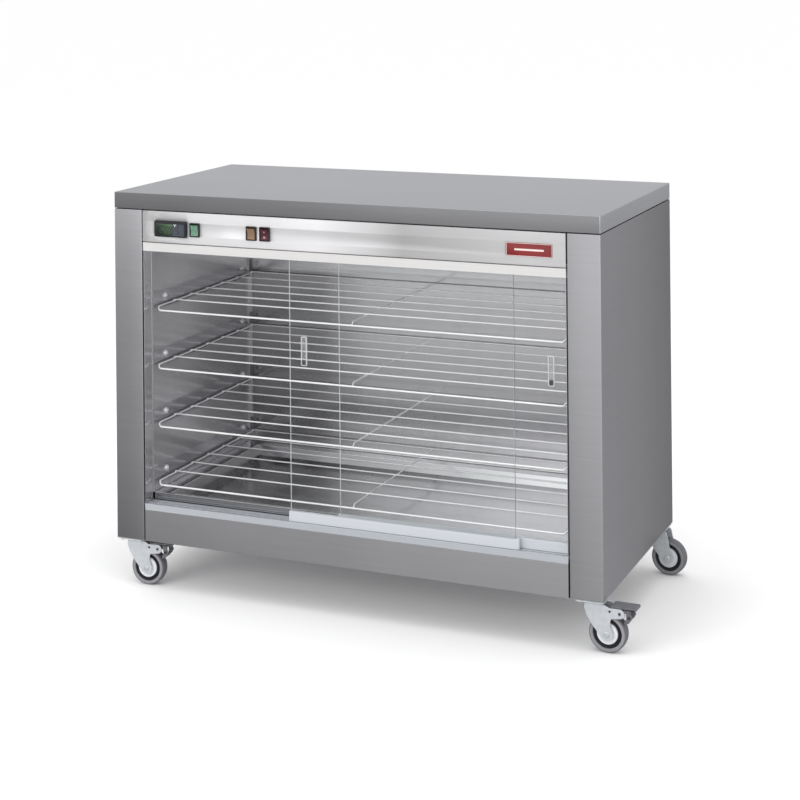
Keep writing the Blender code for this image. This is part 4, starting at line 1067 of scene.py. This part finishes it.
def fork_cheek(braked):
    """Side outline of the fork in (u, z), anticlockwise from the nose's top."""
    if braked:
        rear = [(0.027, FORK_TOP), (0.040, -0.0135)]
        rear += arc((HORN_U, HORN_Z), 0.010, 96, -84, 12)
        rear += fillet([(0.058, -0.0330), (0.0425, -0.0345), (0.0412, -0.0500)], 0.0060, 6)[1:]
    else:
        rear = fillet([(0.022, FORK_TOP), (0.0318, FORK_TOP), (0.0405, -0.0480)], 0.0060, 6)
    boss = arc((TRAIL, AXLE_Z), 0.0135, 18, -158, 14)
    lead = [(0.0105, -0.0605), (-0.0030, -0.0455), (-0.0098, -0.0345), (FORK_NOSE, -0.0210)]
    return rear + boss + lead


def build_fork(corner, pivot, turn, braked):
    """Pressed fork: cheeks, crown and nose as one sheet, rounded, then given thickness."""
    cheek = [(FORK_NOSE, FORK_TOP)] + fork_cheek(braked)
    bm = bmesh.new()
    near = [bm.verts.new((u, -FORK_HALF, z)) for u, z in cheek]
    far = [bm.verts.new((u, FORK_HALF, z)) for u, z in cheek]
    bm.faces.new(near[::-1])
    bm.faces.new(far)
    count = len(cheek)
    wrapped = [0, count - 1, count - 2, count - 3]
    for i in wrapped:
        j = (i + 1) % count
        bm.faces.new((near[i], near[j], far[j], far[i]))
    bmesh.ops.recalc_face_normals(bm, faces=bm.faces)
    edges = []
    for edge in bm.edges:
        if len(edge.link_faces) == 2 and edge.calc_face_angle() > 0.5:
            edges.append(edge)
    bmesh.ops.bevel(bm, geom=edges, offset=0.0042, segments=5, affect="EDGES", profile=0.5)
    body = "swivel_" + corner
    node = "caster_fork_" + corner
    made = piece("fork_" + corner, bm, ZINC, body, (node,), smooth=50, at=pivot, turn=turn)
    thicken(made, FORK_SHEET, True)
    soften(made, 0.0004)

    bm = bmesh.new()
    face = FORK_HALF
    head = [(0.0062, 0.0), (0.0062, 0.0012), (0.0056, 0.0020)]
    head += [(0.0038, 0.0026), (0.0034, 0.0019), (0.0010, 0.0019)]
    for side in (-1, 1):
        lathe(bm, [(r, side * (face + v)) for r, v in head], "y", (TRAIL, 0, AXLE_Z), 32)
    lathe(bm, [(0.0040, -face - 0.0005), (0.0040, face + 0.0005)], "y", (TRAIL, 0, AXLE_Z), 24)
    piece("axle_bolt_" + corner, bm, BOLT_ZINC, body, at=pivot, turn=turn)
    if braked:
        bm = bmesh.new()
        rivet = [(0.0024, -0.0003), (0.0024, 0.0005), (0.0014, 0.0010)]
        for side in (-1, 1):
            lathe(bm, [(r, side * (face + v)) for r, v in rivet], "y", (0.041, 0, -0.0200), 20)
        piece("fork_rivets_" + corner, bm, DARK_STEEL, body, at=pivot, turn=turn)


def build_plate(corner, pivot):
    """Fixed plate with a pressed race ring and four hexagon bolts."""
    bm = bmesh.new()
    top, under, half = -0.0003, -0.0033, 0.031
    extrude(bm, rectangle((-half, -half), (half, half), 0.007, 6), "z", under, top)
    race = [(0.0100, under + 0.0005), (0.0195, under + 0.0005)]
    race += [(0.0190, -0.0058), (0.0180, -0.0070), (0.0100, -0.0070)]
    lathe(bm, race, "z", (0, 0, 0), 40)
    node = "caster_plate_" + corner
    piece("mounting_plate_" + corner, bm, ZINC, stands_for=(node,), edge=0.0004, at=pivot)
    bm = bmesh.new()
    spacing, seat = 0.022, under - 0.0007
    washer = [(0.0010, under), (0.0062, under), (0.0062, seat), (0.0010, seat)]
    for x in (-spacing, spacing):
        for y in (-spacing, spacing):
            lathe(bm, washer, "z", (x, y, 0), 24)
            hexagon(bm, (x, y, seat), 0.0090, -0.0026)
    piece("plate_bolts_" + corner, bm, BOLT_ZINC, at=pivot)


def build_wheel(corner, centre, turn):
    """Pale hub disc, dark rim and grey tyre."""
    body = "wheel_" + corner
    half = [(0.00435, 0.0134), (0.0088, 0.0134), (0.0098, 0.0122), (0.0150, 0.0116)]
    half += [(0.0205, 0.0119), (0.0218, 0.0116), (0.0224, 0.0106)]
    bm = bmesh.new()
    lathe(bm, both_sides(half), "y", segments=64, closed=True)
    node = "wheel_hub_" + corner
    piece("hub_disc_" + corner, bm, HUB_PLASTIC, body, (node,), smooth=40, at=centre, turn=turn)
    half = [(0.0227, 0.0086), (0.0240, 0.0092), (0.0275, 0.0094), (0.0298, 0.0100), (0.0304, 0.0094)]
    bm = bmesh.new()
    lathe(bm, both_sides(half), "y", segments=64, closed=True)
    piece("rim_" + corner, bm, RIM_PLASTIC, body, smooth=40, at=centre, turn=turn)
    half = [(0.0307, 0.0098), (0.0311, 0.0112), (0.0320, 0.0120), (0.0362, 0.0123), (0.0371, 0.0120)]
    half += [(0.0375, 0.0112), (0.0383, 0.0112), (0.0392, 0.0104), (0.0398, 0.0078), (0.0400, 0.0030)]
    bm = bmesh.new()
    lathe(bm, both_sides(half), "y", segments=96, closed=True)
    for face in bm.faces:
        middle = face.calc_center_median()
        face.material_index = 1 if math.hypot(middle.x, middle.z) > 0.0373 else 0
    skins = (RUBBER, TREAD_RUBBER)
    node = "wheel_tyre_" + corner
    piece("tyre_" + corner, bm, skins, body, (node,), smooth=60, at=centre, turn=turn)


def build_pedal(corner, pivot, turn):
    """Brake pedal: ribbed tread with a turned-down lip, two ears, brake block and nut."""
    body = "pedal_" + corner
    begin, end, top, sheet, half = 0.043, 0.096, -0.0092, 0.0025, 0.0173
    bm = bmesh.new()
    path = fillet([(end, top - 0.0045), (end, top + 0.0006), (begin, top)], [0, 0.0022, 0], 6)
    extrude(bm, folded(path, sheet), "y", -half, half)
    node = "brake_pedal_" + corner
    piece("pedal_tread_" + corner, bm, PEDAL_STEEL_AND_SHADE, body, (node,), 0.0006, at=pivot, turn=turn)
    bm = bmesh.new()
    for u, radius in ((begin + 0.009, 0.0012), (end - 0.0045, 0.0008)):
        extrude(bm, arc((u, top - 0.0002), radius, 0, 180, 6), "y", -half * 0.94, half * 0.94)
    piece("pedal_ribs_" + corner, bm, PEDAL_STEEL_AND_SHADE, body, at=pivot, turn=turn)

    ear = [(0.0690, top - 0.001), (0.0748, -0.0200), (0.0757, -0.0340), (0.0790, -0.0405)]
    ear += [(0.0842, -0.0355), (0.0880, -0.0285), (0.0848, -0.0215), (0.0850, top - 0.001)]
    ear = fillet(ear, [0, 0.004, 0.003, 0.002, 0.002, 0.002, 0.003, 0], 4, True)
    bm = bmesh.new()
    for inner, outer in ((-0.0142, -0.0120), (0.0120, 0.0142)):
        extrude(bm, ear, "y", inner, outer)
    pad = [(0.0700, -0.0380), (0.0720, -0.0455), (0.0800, -0.0410), (0.0780, -0.0340)]
    extrude(bm, fillet(pad, 0.0010, 3, True), "y", -0.0124, 0.0124)
    piece("pedal_bracket_" + corner, bm, PEDAL_STEEL_AND_SHADE, body, edge=0.0004, at=pivot, turn=turn)
    bm = bmesh.new()
    for side in (-1, 1):
        hexagon(bm, (0.0812, side * 0.0142, -0.0290), 0.0058, side * 0.0022, "y")
    piece("pedal_nut_" + corner, bm, DARK_STEEL, body, at=pivot, turn=turn)
    bm = bmesh.new()
    reach = FORK_HALF + 0.0003
    head = [(0.0028, 0.0), (0.0028, 0.0008), (0.0018, 0.0014)]
    for side in (-1, 1):
        lathe(bm, [(r, side * (reach + v)) for r, v in head], "y", (HORN_U, 0, HORN_Z), 24)
    lathe(bm, [(0.0022, -reach), (0.0022, reach)], "y", (HORN_U, 0, HORN_Z), 20)
    piece("pedal_pin_" + corner, bm, DARK_STEEL, body, at=pivot, turn=turn)


def build_casters():
    for corner in CORNERS:
        swivel = JOINTS[f"caster_{corner}_swivel"]
        spin = JOINTS[f"wheel_{corner}_spin"]
        braked = f"brake_{corner}_press" in JOINTS
        pivot = Vector(swivel["pos_m"])
        turn = math.atan2(-spin["axis"][0], spin["axis"][1])
        build_plate(corner, pivot)
        build_fork(corner, pivot, turn, braked)
        build_wheel(corner, Vector(spin["pos_m"]), turn)
        if braked:
            build_pedal(corner, pivot, turn)


# -------------------------------------------------------------------- stage


def sideways(tree, across):
    """Mirrored surroundings are darker towards the far left of the cabinet."""
    place = remap(tree, across, (-1.0, 1.0), (0.0, 1.0))
    return grey_ramp(tree, place, ((0.0, 0.55), (0.265, 0.50), (0.285, 0.58), (0.31, 0.92), (1.0, 0.92)))


def build_floor():
    """Pale floor, clear from below; mirrored in the steel it looks darker close to the cabinet."""
    bm = bmesh.new()
    bmesh.ops.create_grid(bm, x_segments=1, y_segments=1, size=90.0)
    mesh = bpy.data.meshes.new("floor")
    bm.to_mesh(mesh)
    bm.free()
    made = bpy.data.materials.new("studio_floor")
    made.use_nodes = True
    tree = made.node_tree
    tree.nodes.clear()
    paint = add(tree, "BsdfDiffuse", {"Color": (0.92, 0.92, 0.92, 1.0)}).outputs[0]
    coords = add(tree, "TexCoord").outputs["Object"]
    distance = add(tree, "VectorMath", {0: coords}, operation="LENGTH").outputs["Value"]
    far = remap(tree, distance, (0.4, 8.0), (0.0, 1.0))
    ahead = grey_ramp(tree, far, ((0.0, 0.26), (0.10, 0.40), (0.30, 0.66), (1.0, 1.0)))
    arriving = add(tree, "SeparateXYZ", {0: add(tree, "NewGeometry").outputs["Incoming"]})
    across = remap(tree, arriving.outputs["X"], (-1.0, 1.0), (1.0, -1.0))
    ahead = multiply(tree, ahead, sideways(tree, across))
    behind = remap(tree, arriving.outputs["Y"], (-0.5, 0.1), (1.0, 0.0))
    blend = mix_colours(tree, ahead, (0.31, 0.31, 0.317, 1.0), share=behind)
    mirrored = add(tree, "Emission", {"Color": blend, "Strength": 1.2}).outputs[0]
    is_mirror = add(tree, "LightPath").outputs["Is Glossy Ray"]
    surface = add(tree, "MixShader", {0: is_mirror, 1: paint, 2: mirrored}).outputs[0]
    from_below = add(tree, "NewGeometry").outputs["Backfacing"]
    clear = add(tree, "BsdfTransparent").outputs[0]
    surface = add(tree, "MixShader", {0: from_below, 1: surface, 2: clear}).outputs[0]
    output = add(tree, "OutputMaterial")
    tree.links.new(surface, output.inputs["Surface"])
    mesh.materials.append(made)
    floor = bpy.data.objects.new("floor", mesh)
    bpy.context.scene.collection.objects.link(floor)


def build_world():
    """White dome for light; mirrored in metal it is a soft studio, darker behind."""
    world = bpy.data.worlds.new("studio")
    bpy.context.scene.world = world
    world.use_nodes = True
    tree = world.node_tree
    tree.nodes.clear()
    direction = add(tree, "SeparateXYZ", {0: add(tree, "TexCoord").outputs["Generated"]})
    height = remap(tree, direction.outputs["Z"], (-0.1, 1.0), (0.0, 1.0))
    sky = grey_ramp(tree, height, ((0.0, 0.72), (0.15, 1.0), (0.35, 1.0), (0.6, 0.75), (1.0, 0.65)))
    sky = multiply(tree, sky, sideways(tree, direction.outputs["X"]))
    behind = remap(tree, direction.outputs["Y"], (-0.2, 0.6), (0.0, 1.0))
    blend = mix_colours(tree, sky, (0.40, 0.40, 0.407, 1.0), share=behind)
    mirrored = add(tree, "Background", {"Color": blend, "Strength": 1.5}).outputs[0]
    dome = add(tree, "Background", {"Color": (1, 1, 1, 1), "Strength": 1.08}).outputs[0]
    is_mirror = add(tree, "LightPath").outputs["Is Glossy Ray"]
    surface = add(tree, "MixShader", {0: is_mirror, 1: dome, 2: mirrored}).outputs[0]
    output = add(tree, "OutputWorld")
    tree.links.new(surface, output.inputs["Surface"])


def add_softbox(name, place, target, size, power):
    light = bpy.data.lights.new(name, "AREA")
    light.shape = "RECTANGLE"
    light.size, light.size_y = size
    light.energy = power
    made = bpy.data.objects.new(name, light)
    made.location = place
    made.rotation_euler = (Vector(target) - Vector(place)).to_track_quat("-Z", "Y").to_euler()
    made.visible_glossy = False
    bpy.context.scene.collection.objects.link(made)


def build_camera():
    """Shift lens held level; away from the picture's eye the shift returns to zero."""
    camera = bpy.data.cameras.new("camera")
    camera.lens = LENS
    camera.sensor_width = 36.0
    camera.clip_end = 300.0
    made = bpy.data.objects.new("camera", camera)
    bpy.context.scene.collection.objects.link(made)
    forward = Vector((-math.sin(HEADING), math.cos(HEADING), 0))
    right = Vector((math.cos(HEADING), math.sin(HEADING), 0))
    up = Vector((0, 0, 1))
    tilted_right = right * math.cos(ROLL) + up * math.sin(ROLL)
    tilted_up = up * math.cos(ROLL) - right * math.sin(ROLL)
    basis = Matrix((tilted_right, tilted_up, -forward)).transposed().to_4x4()
    made.matrix_world = Matrix.Translation(EYE) @ basis
    shift = camera.driver_add("shift_y").driver
    shift.type = "SCRIPTED"
    place = shift.variables.new()
    place.name = "eye"
    place.targets[0].id = made
    place.targets[0].data_path = "location.x"
    shift.expression = f"{LENS_DROP} if abs(eye - {EYE.x:.4f}) < 0.001 else 0"
    bpy.context.scene.camera = made


def main():
    build_worktop()
    build_side_panels()
    build_shell()
    build_control_strip()
    build_back_screws()
    for door, cap_at_right in (("front_door", True), ("rear_door", False)):
        build_door(door, cap_at_right)
        build_grip(door)
    build_racks()
    build_hangers()
    build_thermostat()
    build_switch("green_switch", GREEN_LENS)
    build_switch("orange_switch", ORANGE_LENS)
    build_rocker_marks(*build_switch("red_switch", RED_LENS))
    build_badge()
    build_casters()
    build_floor()
    build_world()
    add_softbox("key", (-1.7, -3.6, 1.7), (0, 0, 0.5), (2.6, 1.2), 50)
    add_softbox("top", (0.2, -0.4, 3.2), (0, 0, 0.4), (3.0, 2.0), 30)
    build_camera()
    bpy.context.scene.view_settings.view_transform = "Standard"


main()
